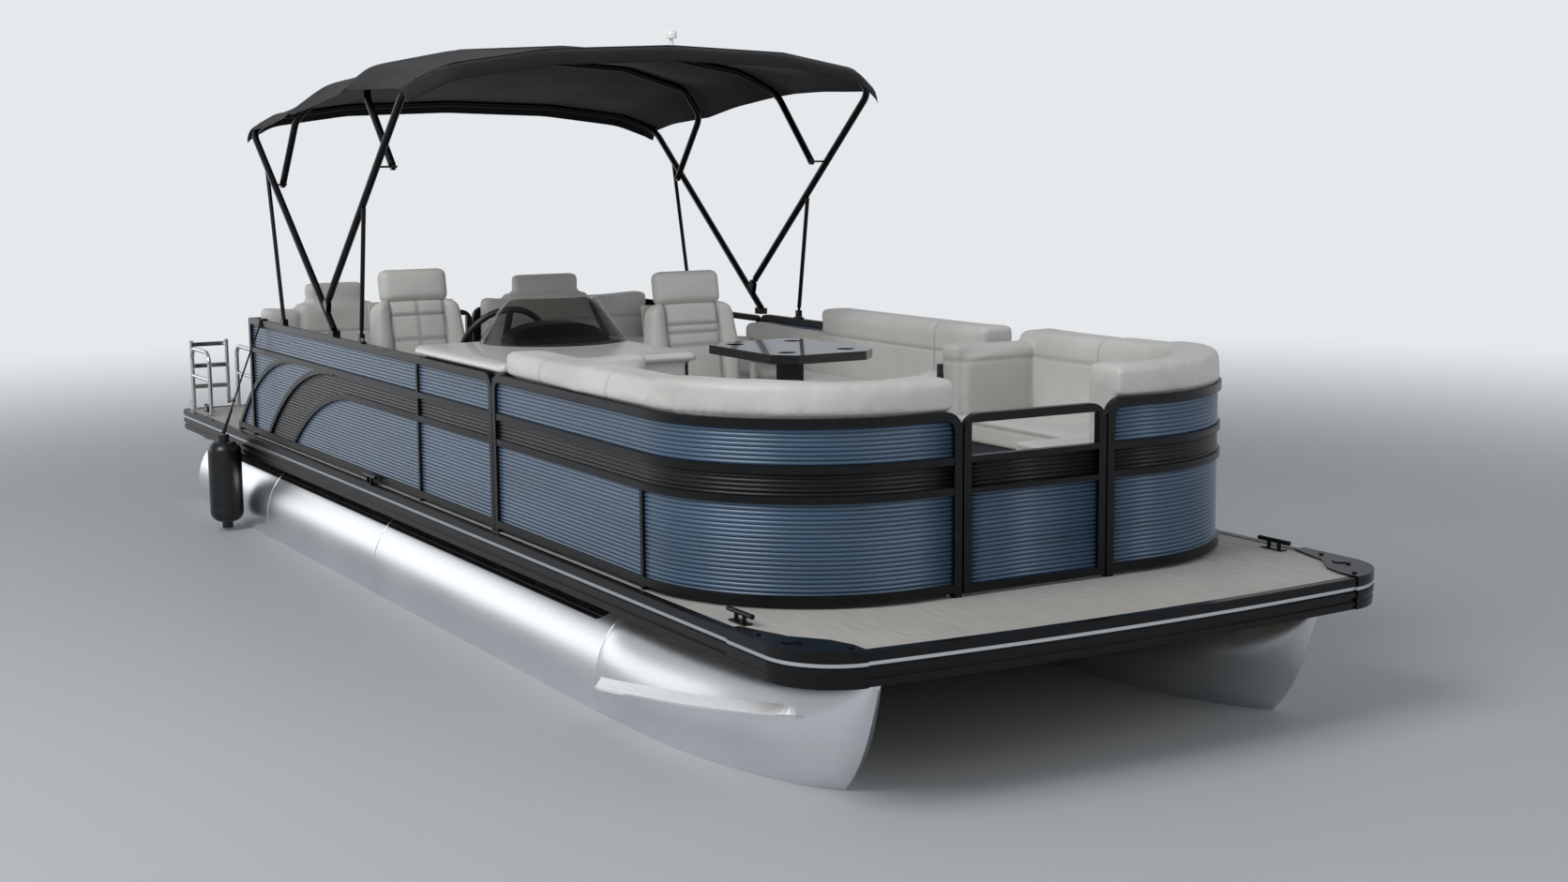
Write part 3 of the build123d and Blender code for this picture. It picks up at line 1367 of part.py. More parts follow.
export_step(motor_clamp.part, "parts/motor_clamp.step")

swivel_half = plate_y - 8
swivel_top = -92
swivel_low = -400
with BuildPart() as motor_swivel:
    with BuildSketch(Plane((tilt_x, -swivel_half, deck_z + tilt_z), x_dir=(1, 0, 0), z_dir=(0, 1, 0))):
        Circle(tilt_pin + 13)
    extrude(amount=2 * swivel_half)
    with Locations((steer_x, 0, deck_z + (swivel_top + swivel_low) / 2)):
        Cylinder(steer_pin + 14, swivel_top - swivel_low)
    with BuildSketch(Plane((0, 30, deck_z), x_dir=(1, 0, 0), z_dir=(0, -1, 0))):
        with BuildLine():
            Polyline(
                (tilt_x + 6, tilt_z + 18),
                (steer_x + 20, swivel_top),
                (steer_x + 6, swivel_low),
                (tilt_x - 20, -360),
                (tilt_x + 6, tilt_z - 18),
                close=True,
            )
        make_face()
    extrude(amount=60)
    with Locations((steer_x, 0, deck_z)):
        Cylinder(steer_pin + pin_play, 2000, mode=Mode.SUBTRACT)
    with BuildSketch(Plane((tilt_x, -200, deck_z + tilt_z), x_dir=(1, 0, 0), z_dir=(0, 1, 0))):
        Circle(tilt_pin + pin_play)
    extrude(amount=400, mode=Mode.SUBTRACT)
motor_swivel.part.label = "motor_swivel"
export_step(motor_swivel.part, "parts/motor_swivel.step")

# Stations of the leg: height, front, back, half width.
leg_stations = [
    (cowl_low - soft_gap, -3752, -3960, 95),
    (-120, -3752, -3935, 80),
    (-420, -3752, -3915, 62),
    (vent_plate, -3745, -3900, 44),
    (propeller_z + 30, -3735, -3895, 34),
]
with BuildPart() as motor_leg:
    for height, fore, back, half in leg_stations:
        with BuildSketch(level(height)):
            with Locations(((fore + back) / 2, 0)):
                RectangleRounded(fore - back, 2 * half, min(half, 70) * 0.7)
    loft(ruled=True)
    with Locations((steer_x, 0, deck_z + (swivel_top + swivel_low) / 2)):
        Cylinder(steer_pin, swivel_top - swivel_low + 56)
    for low, high in ((swivel_top + 14, swivel_top + 32), (swivel_low - 30, swivel_low - 12)):
        with BuildSketch(level(low)):
            with Locations((steer_x, 0)):
                Circle(steer_pin + 8)
            with Locations((steer_x - 45, 0)):
                Rectangle(90, 56)
        extrude(amount=high - low)
    with BuildSketch(level(vent_plate)):
        with Locations((-3905, 0)):
            RectangleRounded(430, 200, 60)
    extrude(amount=8)
    with BuildSketch(Plane((-3650, 0, deck_z + propeller_z), x_dir=(0, 1, 0), z_dir=(-1, 0, 0))):
        Circle(torpedo)
    extrude(amount=propeller_x * -1 - 3650 - 50)
    with BuildSketch(Plane((-3650, 0, deck_z + propeller_z), x_dir=(0, 1, 0), z_dir=(1, 0, 0))):
        Circle(torpedo)
    extrude(amount=60, taper=34)
    with BuildSketch(Plane.XZ.offset(-6)):
        with BuildLine():
            Polyline(
                (-3700, deck_z + propeller_z - 40),
                (-3770, deck_z + propeller_z - 180),
                (-3880, deck_z + propeller_z - 185),
                (-3950, deck_z + propeller_z - 40),
                close=True,
            )
        make_face()
    extrude(amount=12)
    with BuildSketch(Plane((propeller_x + 52, 0, deck_z + propeller_z), x_dir=(0, 1, 0), z_dir=(-1, 0, 0))):
        Circle(shaft_radius)
    extrude(amount=112)
motor_leg.part.label = "motor_leg"
export_step(motor_leg.part, "parts/motor_leg.step")

# Stations of the cowl: height, front, back, half width, corner radius.
cowl_stations = [
    (cowl_low, -3690, -4140, 165, 90),
    (70, -3660, -4185, 192, 110),
    (250, -3662, -4190, 196, 120),
    (380, -3690, -4160, 172, 120),
    (450, -3770, -4070, 110, 90),
]
with BuildPart() as motor_cowl:
    for height, fore, back, half, corner_round in cowl_stations:
        with BuildSketch(level(height)):
            with Locations(((fore + back) / 2, 0)):
                RectangleRounded(fore - back, 2 * half, corner_round)
    loft()
motor_cowl.part.label = "motor_cowl"
export_step(motor_cowl.part, "parts/motor_cowl.step")

blade_pitch = 32
blade_count = 3
with BuildPart() as propeller:
    with BuildSketch(Plane((propeller_x + 44, 0, deck_z + propeller_z), x_dir=(0, 1, 0), z_dir=(-1, 0, 0))):
        Circle(46)
        Circle(shaft_radius + bore_play, mode=Mode.SUBTRACT)
    extrude(amount=96)
    for number in range(blade_count):
        hub_plane = Plane((propeller_x, 0, deck_z + propeller_z), x_dir=(0, 1, 0), z_dir=(-1, 0, 0))
        place = hub_plane.location * Location((0, 0, 0), (0, 0, 360 / blade_count * number))
        with BuildSketch(Plane(place * Location((0, 0, 0), (blade_pitch, 0, 0)))):
            with Locations((propeller_diameter / 4 + 18, 0)):
                Ellipse(propeller_diameter / 4 - 18, 62)
        extrude(amount=3, both=True)
    with BuildSketch(Plane((propeller_x + 60, 0, deck_z + propeller_z), x_dir=(0, 1, 0), z_dir=(-1, 0, 0))):
        Circle(shaft_radius + bore_play)
    extrude(amount=200, mode=Mode.SUBTRACT)
propeller.part.label = "propeller"
export_step(propeller.part, "parts/propeller.step")

# Stern ladder: fixed hand hoops and stand-off frame, and a ladder folded up between the hoops.
hoop_aft = deck_aft + 48
hoop_fore = hoop_aft + 400
hoop_height = 385
hoop_ys = (-1225, -945)
rod = 12.5
ladder_x = deck_aft - 75
ladder_pivot_z = 26
ladder_ys = (-1195, -975)
frame_x = deck_aft - rail_reach - 18
with BuildPart() as ladder_rails:
    for y in hoop_ys:
        with BuildLine(Plane((0, y, deck_z), x_dir=(1, 0, 0), z_dir=(0, -1, 0))):
            hoop_points = [(hoop_aft, 0), (hoop_aft, hoop_height), (hoop_fore, hoop_height), (hoop_fore, 0)]
            FilletPolyline(*hoop_points, radius=70)
        with BuildSketch(Plane((hoop_aft, y, deck_z), x_dir=(1, 0, 0), z_dir=(0, 0, 1))):
            Circle(rod)
        sweep()
        with BuildSketch(Plane((hoop_aft, y, deck_z + 215), x_dir=(0, 1, 0), z_dir=(1, 0, 0))):
            Circle(rod - 2)
        extrude(amount=hoop_fore - hoop_aft)
        for x in (hoop_aft, hoop_fore):
            with Locations((x, y, deck_z + 3)):
                Cylinder(26, 6)
    for side, y in ((-1, ladder_ys[0]), (1, ladder_ys[1])):
        with Locations((deck_aft - 42, y + side * 21, deck_z + 24)):
            Box(96, 6, 42)
        pin_place = (ladder_x, y - side * 12, deck_z + ladder_pivot_z)
        with BuildSketch(Plane(pin_place, x_dir=(1, 0, 0), z_dir=(0, side, 0))):
            Circle(6)
        extrude(amount=36)
    ladder_mid = (ladder_ys[0] + ladder_ys[1]) / 2
    with BuildLine(Plane((frame_x, 0, deck_z), x_dir=(0, 1, 0), z_dir=(1, 0, 0))):
        FilletPolyline((-1160, -20), (-1160, -200), (-1010, -200), (-1010, -20), radius=50)
    with BuildSketch(Plane((frame_x, -1160, deck_z - 20), x_dir=(1, 0, 0), z_dir=(0, 0, -1))):
        Circle(rod)
    sweep()
    for y in (-1160, -1010):
        with Locations((deck_aft - rail_reach - 5, y, deck_z - 12)):
            Box(10, 40, 26)
ladder_rails.part.label = "ladder_rails"
export_step(ladder_rails.part, "parts/ladder_rails.step")

with BuildPart() as boarding_ladder:
    for y in ladder_ys:
        with Locations((ladder_x, y, deck_z + (ladder_pivot_z + 20 + 420) / 2)):
            Cylinder(rod, 420 - ladder_pivot_z - 20)
        eye_place = (ladder_x, y - 10, deck_z + ladder_pivot_z)
        with BuildSketch(Plane(eye_place, x_dir=(1, 0, 0), z_dir=(0, 1, 0))):
            Circle(15)
            with Locations((0, -14)):
                Rectangle(22, 28)
        extrude(amount=20)
        with BuildSketch(Plane(eye_place, x_dir=(1, 0, 0), z_dir=(0, 1, 0)).offset(-10)):
            Circle(6 + pin_play)
        extrude(amount=40, mode=Mode.SUBTRACT)
    for height in (130, 260, 395):
        with Locations((ladder_x - 6, (ladder_ys[0] + ladder_ys[1]) / 2, deck_z + height)):
            Box(44, ladder_ys[1] - ladder_ys[0] + 6, 24)
boarding_ladder.part.label = "boarding_ladder"
export_step(boarding_ladder.part, "parts/boarding_ladder.step")

# Fender beside the starboard tube, hung from the fence's top rail by a line.
fender_radius = 93
fender_x = -2470
fender_y = -(beam / 2 + fender_radius + 4)
fender_top = -34
fender_low = -500
with BuildPart() as fender:
    with Locations((fender_x, fender_y, deck_z + (fender_top + fender_low) / 2)):
        Cylinder(fender_radius, fender_top - fender_low)
    fillet(fender.edges().filter_by(GeomType.CIRCLE), 62)
    for height in (fender_top + 14, fender_low - 14):
        with Locations((fender_x, fender_y, deck_z + height)):
            Cylinder(30, 44)
    eye_place = (fender_x, fender_y - 40, deck_z + fender_top + 24)
    with BuildSketch(Plane(eye_place, x_dir=(1, 0, 0), z_dir=(0, 1, 0))):
        Circle(7)
    extrude(amount=80, mode=Mode.SUBTRACT)
fender.part.label = "fender"
export_step(fender.part, "parts/fender.step")

knot_x = -2120
line_radius = 5
line_end = (knot_x, -(fence_side + 8), deck_z + rail_top - 26)
line_start = (fender_x, fender_y, deck_z + fender_top + 42)
with BuildPart() as fender_line:
    knot_place = (knot_x - 7, -side_y, deck_z + top_rail + post_in)
    with BuildSketch(Plane(knot_place, x_dir=(0, 1, 0), z_dir=(1, 0, 0))):
        RectangleRounded(fence_tube + 20, fence_tube + 20, 12)
        Rectangle(fence_tube + 2 * soft_gap, fence_tube + 2 * soft_gap, mode=Mode.SUBTRACT)
    extrude(amount=14)
    run = (line_end[0] - line_start[0], line_end[1] - line_start[1], line_end[2] - line_start[2])
    with BuildSketch(Plane(line_start, x_dir=(0, 1, 0), z_dir=run)):
        Circle(line_radius)
    extrude(amount=(run[0] ** 2 + run[1] ** 2 + run[2] ** 2) ** 0.5 + 2)
    with Locations((fender_x, fender_y, deck_z + fender_top + 36 + 9)):
        Cylinder(12, 18)
    with Locations(line_end):
        Sphere(11)
    with Locations((knot_x, -side_y, deck_z + top_rail + post_in)):
        Box(60, fence_tube + 2 * soft_gap, fence_tube + 2 * soft_gap, mode=Mode.SUBTRACT)
    with Locations((knot_x, -(fence_side - panel_depth - panel_skin / 2), deck_z + top_rail - 10)):
        Box(60, panel_skin + 2 * soft_gap, 24, mode=Mode.SUBTRACT)
fender_line.part.label = "fender_line"
export_step(fender_line.part, "parts/fender_line.step")
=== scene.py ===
import math

import bmesh
import bpy
from mathutils import Matrix, Vector
from mathutils.bvhtree import BVHTree


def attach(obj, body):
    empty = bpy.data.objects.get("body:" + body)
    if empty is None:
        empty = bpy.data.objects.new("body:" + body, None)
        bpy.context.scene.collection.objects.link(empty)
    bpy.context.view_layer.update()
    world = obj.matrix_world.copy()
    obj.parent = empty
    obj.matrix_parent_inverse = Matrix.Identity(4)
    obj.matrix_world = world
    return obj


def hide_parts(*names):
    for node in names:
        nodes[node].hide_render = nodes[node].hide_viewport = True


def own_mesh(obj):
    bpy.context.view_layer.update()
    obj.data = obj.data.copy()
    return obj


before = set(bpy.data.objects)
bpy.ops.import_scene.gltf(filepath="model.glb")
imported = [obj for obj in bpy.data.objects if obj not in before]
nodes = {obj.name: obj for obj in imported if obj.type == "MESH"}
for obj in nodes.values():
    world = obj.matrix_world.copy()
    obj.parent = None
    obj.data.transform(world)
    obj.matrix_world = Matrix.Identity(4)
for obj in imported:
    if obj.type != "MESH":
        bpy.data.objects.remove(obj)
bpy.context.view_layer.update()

# The view: a camera off the starboard bow, a little below the canopy's edge, looking aft and down.
# Its lens and turn are those of the photograph.
camera = bpy.data.objects.new("view", bpy.data.cameras.new("view"))
bpy.context.scene.collection.objects.link(camera)
bpy.context.scene.camera = camera
camera.data.sensor_width = 36
camera.data.lens = 47.77
camera.data.clip_end = 200
stand = Vector((9.282, -4.520, 2.138))
ahead = Vector((-0.8567, 0.4967, -0.1393)).normalized()
level_right = ahead.cross(Vector((0, 0, 1))).normalized()
level_up = level_right.cross(ahead)
roll = math.radians(-0.503)
right = level_right * math.cos(roll) + level_up * math.sin(roll)
up = -level_right * math.sin(roll) + level_up * math.cos(roll)
camera.matrix_world = Matrix((
    (right.x, up.x, -ahead.x, stand.x),
    (right.y, up.y, -ahead.y, stand.y),
    (right.z, up.z, -ahead.z, stand.z),
    (0, 0, 0, 1),
))

# Studio: a pale floor at the waterline, which fades into the backdrop's colour away from the boat.
# A wide soft key stands off the starboard bow, a long panel that the tubes mirror off the starboard quarter,
# and a fill off the port bow, under a pale sky.


def linear(code):
    """An sRGB hex colour as linear red, green, blue and alpha."""
    values = [int(code[at:at + 2], 16) / 255 for at in (1, 3, 5)]
    return [v / 12.92 if v <= 0.04045 else ((v + 0.055) / 1.055) ** 2.4 for v in values] + [1.0]


def feed(tree, node, inputs):
    """Sets a node's inputs. A hex colour is turned linear, and a node is linked by its first output."""
    for name, value in inputs.items():
        if isinstance(value, bpy.types.Node):
            value = value.outputs[0]
        if isinstance(value, bpy.types.NodeSocket):
            tree.links.new(value, node.inputs[name])
        else:
            node.inputs[name].default_value = linear(value) if isinstance(value, str) else value


def add(tree, kind, settings, inputs, stops=()):
    """Adds a node to a tree with its settings, its inputs and, on a colour ramp, its stops."""
    node = tree.nodes.new(kind)
    for name, value in settings.items():
        setattr(node, name, value)
    feed(tree, node, inputs)
    if stops:
        elements = node.color_ramp.elements
        while len(elements) < len(stops):
            elements.new(0.5)
        for element, (position, code) in zip(elements, stops):
            element.position = position
            element.color = linear(code)
    return node


def new_finish(name):
    """A new material with its node tree, its shader and the object's own coordinates."""
    material = bpy.data.materials.new(name)
    material.use_nodes = True
    tree = material.node_tree
    place = tree.nodes.new("ShaderNodeTexCoord").outputs["Object"]
    return material, tree, tree.nodes["Principled BSDF"], place


backdrop_colour = "#E6E9EC"
bpy.ops.object.select_all(action="DESELECT")
bpy.ops.mesh.primitive_plane_add(size=120, location=(0, 0, 0))
floor = bpy.context.object
floor.name = "studio_floor"
floor_finish, tree, shader, place = new_finish("studio_floor")
feed(tree, shader, {"Base Color": "#ABAFB2", "Roughness": 0.6})
away = add(tree, "ShaderNodeVectorMath", {"operation": "LENGTH"}, {0: place})
fade = add(tree, "ShaderNodeMapRange", {"interpolation_type": "SMOOTHSTEP"},
           {"Value": away.outputs["Value"], "From Min": 4.5, "From Max": 15.0})
far = add(tree, "ShaderNodeEmission", {}, {"Color": backdrop_colour})
blend = add(tree, "ShaderNodeMixShader", {}, {0: fade, 1: shader, 2: far})
feed(tree, tree.nodes["Material Output"], {"Surface": blend})
floor.data.materials.append(floor_finish)
sky = bpy.data.worlds.new("studio_sky")
bpy.context.scene.world = sky
sky.use_nodes = True
tree = sky.node_tree
seen = add(tree, "ShaderNodeLightPath", {}, {})
backdrop = add(tree, "ShaderNodeBackground", {}, {"Color": backdrop_colour, "Strength": 1.0})
glow = add(tree, "ShaderNodeBackground", {}, {"Color": "#DFE4EA", "Strength": 0.50})
shown = add(tree, "ShaderNodeMixShader", {}, {0: seen.outputs["Is Camera Ray"], 1: glow, 2: backdrop})
feed(tree, tree.nodes["World Output"], {"Surface": shown})
for lamp_name, spot, aim, size, high, power in (
    ("key", (3.5, -8.5, 8.5), (0, 0, 0.8), 6.0, 6.0, 900),
    ("mirror_panel", (-12.0, -8.0, 2.6), (0.5, -1.0, 0.3), 14.0, 4.5, 220),
    ("fill", (12.0, 4.5, 6.0), (1.5, 0, 0.8), 8.0, 8.0, 300),
):
    lamp = bpy.data.objects.new(lamp_name, bpy.data.lights.new(lamp_name, "AREA"))
    bpy.context.scene.collection.objects.link(lamp)
    lamp.data.shape = "RECTANGLE"
    lamp.data.size = size
    lamp.data.size_y = high
    lamp.data.energy = power
    lamp.location = spot
    lamp.rotation_euler = (Vector(aim) - Vector(spot)).to_track_quat("-Z", "Y").to_euler()
bpy.context.scene.view_settings.view_transform = "Standard"

# Bare aluminium: rolled marine sheet, brushed in the mill and welded, for the risers, cross-members and pod.
# The brushing runs along the boat and gives a soft, stretched gleam. It is drawn as noise some 3 mm wide and
# 200 mm long, coarser than the real lines, which are too fine to show.


def put_on(material, *names):
    """Gives one finish to whole CAD nodes."""
    for name in names:
        nodes[name].data.materials.clear()
        nodes[name].data.materials.append(material)


def aluminium(name):
    """Bright mill-finished aluminium, with its tree, shader, place, base colour and roughness."""
    material, tree, shader, place = new_finish(name)
    cloud = add(tree, "ShaderNodeTexNoise", {}, {"Vector": place, "Scale": 1.3, "Detail": 3.0})
    colour = add(tree, "ShaderNodeValToRGB", {}, {"Fac": cloud}, [(0.3, "#DADDE0"), (0.7, "#E6E8EA")])
    rough = add(tree, "ShaderNodeMapRange", {},
                {"Value": cloud, "From Min": 0.3, "From Max": 0.7, "To Min": 0.27, "To Max": 0.33})
    brushed = add(tree, "ShaderNodeMapping", {}, {"Vector": place, "Scale": (5, 380, 380)})
    grain = add(tree, "ShaderNodeTexNoise", {}, {"Vector": brushed, "Scale": 1.0, "Detail": 3.0})
    bump = add(tree, "ShaderNodeBump", {}, {"Strength": 0.05, "Distance": 0.002, "Height": grain})
    feed(tree, shader, {"Base Color": colour, "Metallic": 1.0, "Roughness": rough, "Normal": bump})
    return material, tree, shader, place, colour, rough


milled = aluminium("milled_marine_aluminium")[0]
put_on(milled, "tube_risers", "cross_members", "motor_pod")

# Tubes: the same aluminium, with a painted reflection on the outer shoulder under the rub rail: a gloss black
# band stands in for the dark reflection of the rail and deck there, and pale lines along it are painted
# highlights.
# The band lies between two angles round the tube, and its lower edge curves up to end it at the nose's seam.
tube_y = 0.963
tube_z = 0.1345
band_edge = 0.70
band_top = 1.60
band_aft = -3.15
band_fore = 2.25
band_curve = 0.16
band_width = 0.6
# Colour of the painted dark reflection on the tubes' shoulder.
reflection_black = "#101113"
reflection_aluminium, tree, shader, place, bare, rough = aluminium("marine_aluminium_painted_reflection")
axes = add(tree, "ShaderNodeSeparateXYZ", {}, {0: place})
along, across, height = axes.outputs
side = add(tree, "ShaderNodeMath", {"operation": "ABSOLUTE"}, {0: across})
outward = add(tree, "ShaderNodeMath", {"operation": "SUBTRACT"}, {0: side, 1: tube_y})
upward = add(tree, "ShaderNodeMath", {"operation": "SUBTRACT"}, {0: height, 1: tube_z})
angle = add(tree, "ShaderNodeMath", {"operation": "ARCTAN2"}, {0: upward, 1: outward})
past = add(tree, "ShaderNodeMapRange", {},
           {"Value": along, "From Min": band_fore - band_curve, "From Max": band_fore, "To Max": 0.85})
curve = add(tree, "ShaderNodeMath", {"operation": "POWER"}, {0: past, 1: 2.0})
above = add(tree, "ShaderNodeMath", {"operation": "SUBTRACT"}, {0: angle, 1: curve})
over_edge = add(tree, "ShaderNodeMapRange", {},
                {"Value": above, "From Min": band_edge, "From Max": band_edge + 0.012})
under_top = add(tree, "ShaderNodeMapRange", {},
                {"Value": angle, "From Min": band_top, "From Max": band_top + 0.01, "To Min": 1, "To Max": 0})
before = add(tree, "ShaderNodeMath", {"operation": "LESS_THAN"}, {0: along, 1: band_fore})
after = add(tree, "ShaderNodeMath", {"operation": "GREATER_THAN"}, {0: along, 1: band_aft})
lengthwise = add(tree, "ShaderNodeMath", {"operation": "MULTIPLY"}, {0: before, 1: after})
roundwise = add(tree, "ShaderNodeMath", {"operation": "MULTIPLY"}, {0: over_edge, 1: under_top})
reflection_mask = add(tree, "ShaderNodeMath", {"operation": "MULTIPLY"}, {0: roundwise, 1: lengthwise})
# Painted reflections of the rub rail's highlights: pale lines along the band.
stops = []
for line_at, highlight_tone in ((0.115, "#5B5E61"), (0.345, "#5B5E61"), (0.635, "#4A4D50")):
    stops += [(line_at - 0.015, reflection_black), (line_at, highlight_tone), (line_at + 0.015, reflection_black)]
up_band = add(tree, "ShaderNodeMapRange", {},
              {"Value": angle, "From Min": band_edge, "From Max": band_edge + band_width})
reflection_lines = add(tree, "ShaderNodeValToRGB", {}, {"Fac": up_band}, stops)
# Bare metal outside the band; inside it, the painted dark reflection and its highlight lines.
colouring = add(tree, "ShaderNodeMix", {"data_type": "RGBA"}, {0: reflection_mask, 6: bare, 7: reflection_lines})
gloss = add(tree, "ShaderNodeMix", {"data_type": "FLOAT"}, {0: reflection_mask, 2: rough, 3: 0.16})
metal = add(tree, "ShaderNodeMath", {"operation": "SUBTRACT"}, {0: 1.0, 1: reflection_mask})
feed(tree, shader, {"Base Color": colouring.outputs[2], "Metallic": metal, "Roughness": gloss})
put_on(reflection_aluminium, "port_pontoon", "starboard_pontoon")

# Weld beads: a ring of weld where two lengths of tube meet, and one where the nose starts.
# Each ring is a thin torus let into the tube's skin, in the same bare metal.


def select(*pieces):
    """Selects pieces alone and makes the first of them active."""
    bpy.ops.object.select_all(action="DESELECT")
    for piece in pieces:
        piece.select_set(True)
    bpy.context.view_layer.objects.active = pieces[0]


def joined(pieces, name):
    """Joins pieces into the first of them, under a new name."""
    select(*pieces)
    bpy.ops.object.join()
    bpy.context.object.name = name
    return bpy.context.object


tube_radius = 0.3175
bead_half = 0.0026
for tube_name, side in (("starboard", -1), ("port", 1)):
    rings = []
    for ring_x in (-2.05, -0.28, 2.25):
        bpy.ops.object.select_all(action="DESELECT")
        bpy.ops.mesh.primitive_torus_add(
            major_radius=tube_radius - 0.0003, minor_radius=bead_half, major_segments=72, minor_segments=6,
            location=(ring_x, side * tube_y, tube_z), rotation=(0, math.pi / 2, 0))
        rings.append(bpy.context.object)
    beads = joined(rings, tube_name + "_weld_beads")
    bpy.ops.object.transform_apply(location=True, rotation=True, scale=True)
    bpy.ops.object.shade_smooth()
    beads.data.materials.append(milled)
    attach(beads, "hull")

# Spray strakes: an angle of sanded aluminium welded on the outer side of each nose, a sloping face over a
# flat one. Each follows the nose's skin, encloses the strake of the CAD body and leaves its forward end bare.


def grid(name, columns, rows):
    """A new square grid of faces two metres wide, selected alone."""
    bpy.ops.object.select_all(action="DESELECT")
    bpy.ops.mesh.primitive_grid_add(x_subdivisions=columns, y_subdivisions=rows, size=2)
    bpy.context.object.name = name
    return bpy.context.object


def face_outward():
    """Turns the faces of the active mesh outward."""
    bpy.ops.object.mode_set(mode="EDIT")
    bpy.ops.mesh.select_all(action="SELECT")
    bpy.ops.mesh.normals_make_consistent(inside=False)
    bpy.ops.object.mode_set(mode="OBJECT")


strake_aft = 2.310
strake_fore = 3.450
strake_slope = 0.109
strake_top = 0.137
strake_skin = 0.010
strake_rise = 0.032
strake_reach = 0.0355
strake_let_in = 0.001
strake_steps = 60
sanded, tree, shader, place = new_finish("sanded_marine_aluminium")
sanding = add(tree, "ShaderNodeMapping", {}, {"Vector": place, "Scale": (8, 300, 300)})
scour = add(tree, "ShaderNodeTexNoise", {}, {"Vector": sanding, "Scale": 1.0, "Detail": 3.0})
tone = add(tree, "ShaderNodeValToRGB", {}, {"Fac": scour}, [(0.3, "#E4E6E8"), (0.7, "#F4F5F6")])
feed(tree, shader, {"Base Color": tone, "Metallic": 0.4, "Roughness": 0.45})
for tube_name, side in (("starboard", -1), ("port", 1)):
    skin = BVHTree.FromObject(nodes[tube_name + "_pontoon"], bpy.context.evaluated_depsgraph_get())
    strake = grid(tube_name + "_spray_strake", strake_steps, 3)
    for vertex in strake.data.vertices:
        share = (vertex.co.x + 1) / 2
        row = round((vertex.co.y + 1) * 1.5)
        x = strake_aft + share * (strake_fore - strake_aft)
        ledge = strake_top + strake_slope * (x - strake_aft)
        reach = strake_reach * min(1, share * strake_steps, (1 - share) * 12)
        foot = ledge - strake_skin - 0.001
        # Each row: its height, the height at which it meets the skin and its distance from there.
        z, skin_z, out = (
            (ledge + strake_rise, ledge + strake_rise, 0),
            (ledge, ledge + 0.003, reach),
            (ledge - strake_skin, ledge + 0.003, reach),
            (foot, foot, 0),
        )[row]
        wall = skin.ray_cast(Vector((x, side * 2, skin_z)), Vector((0, -side, 0)))[0].y
        vertex.co = (x, wall + side * (out - strake_let_in), z)
    face_outward()
    strake.data.materials.append(sanded)
    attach(strake, "hull")

# Deck board: treated marine plywood, screwed down on the cross-members.
# It is seen only from below, where its veneer's grain, some 17 mm wide, runs along the boat.
plywood, tree, shader, place = new_finish("treated_plywood")
sawn = add(tree, "ShaderNodeMapping", {}, {"Vector": place, "Scale": (3, 60, 60)})
veneer = add(tree, "ShaderNodeTexNoise", {}, {"Vector": sawn, "Scale": 1.0, "Detail": 6.0})
tone = add(tree, "ShaderNodeValToRGB", {}, {"Fac": veneer}, [(0.3, "#7C6A4C"), (0.7, "#A08C68")])
feed(tree, shader, {"Base Color": tone, "Roughness": 0.8})
put_on(plywood, "deck_panel")

# Floor: woven vinyl laid on the deck board, warm pale grey threads of two tones running along the boat.
# The threads are 3 mm wide, and their tones are drawn as streaks some 5 mm wide and 200 mm long.
woven, tree, shader, place = new_finish("woven_vinyl_floor")
stretched = add(tree, "ShaderNodeMapping", {}, {"Vector": place, "Scale": (5, 210, 210)})
streak = add(tree, "ShaderNodeTexNoise", {}, {"Vector": stretched, "Scale": 1.0, "Detail": 3.0})
patch = add(tree, "ShaderNodeTexNoise", {}, {"Vector": place, "Scale": 1.4, "Detail": 3.0})
mottle = add(tree, "ShaderNodeMath", {"operation": "MULTIPLY_ADD"}, {0: patch, 1: 0.25, 2: streak})
tone = add(tree, "ShaderNodeValToRGB", {}, {"Fac": mottle},
           [(0.40, "#8F8C88"), (0.62, "#A3A09B"), (0.9, "#B2AFAA")])
threads = add(tree, "ShaderNodeTexWave", {"bands_direction": "Y"},
              {"Vector": place, "Scale": 52.0, "Distortion": 0.4})
bump = add(tree, "ShaderNodeBump", {},
           {"Strength": 0.25, "Distance": 0.001, "Height": threads.outputs["Fac"]})
feed(tree, shader, {"Base Color": tone, "Roughness": 0.7, "Normal": bump})
put_on(woven, "floor_covering")

# Fence tubes, gates, canopy bows and cleats: aluminium under satin black powder coat.
# The coat is a little uneven, as sprayed powder flows, with a ripple some 3 mm across and longer scuffs.
powder, tree, shader, place = new_finish("black_powder_coat")
flow = add(tree, "ShaderNodeTexNoise", {}, {"Vector": place, "Scale": 380.0, "Detail": 2.0})
rubbed = add(tree, "ShaderNodeMapping", {}, {"Vector": place, "Scale": (4, 18, 60)})
scuff = add(tree, "ShaderNodeTexNoise", {}, {"Vector": rubbed, "Scale": 1.0, "Detail": 5.0})
tone = add(tree, "ShaderNodeValToRGB", {}, {"Fac": scuff}, [(0.45, "#08090A"), (0.75, "#121314")])
rough = add(tree, "ShaderNodeMapRange", {}, {"Value": scuff, "To Min": 0.20, "To Max": 0.36})
bump = add(tree, "ShaderNodeBump", {}, {"Strength": 0.08, "Distance": 0.0005, "Height": flow})
feed(tree, shader, {"Base Color": tone, "Roughness": rough, "Specular IOR Level": 0.22, "Normal": bump})
put_on(powder, "starboard_fence", "port_fence", "stern_fence", "bow_gate", "side_gate", "stern_gate",
       "canopy_aft_bow", "canopy_fore_bow", "canopy_aft_rib", "canopy_fore_rib", "canopy_stays",
       "canopy_fore_stays", "deck_cleats")
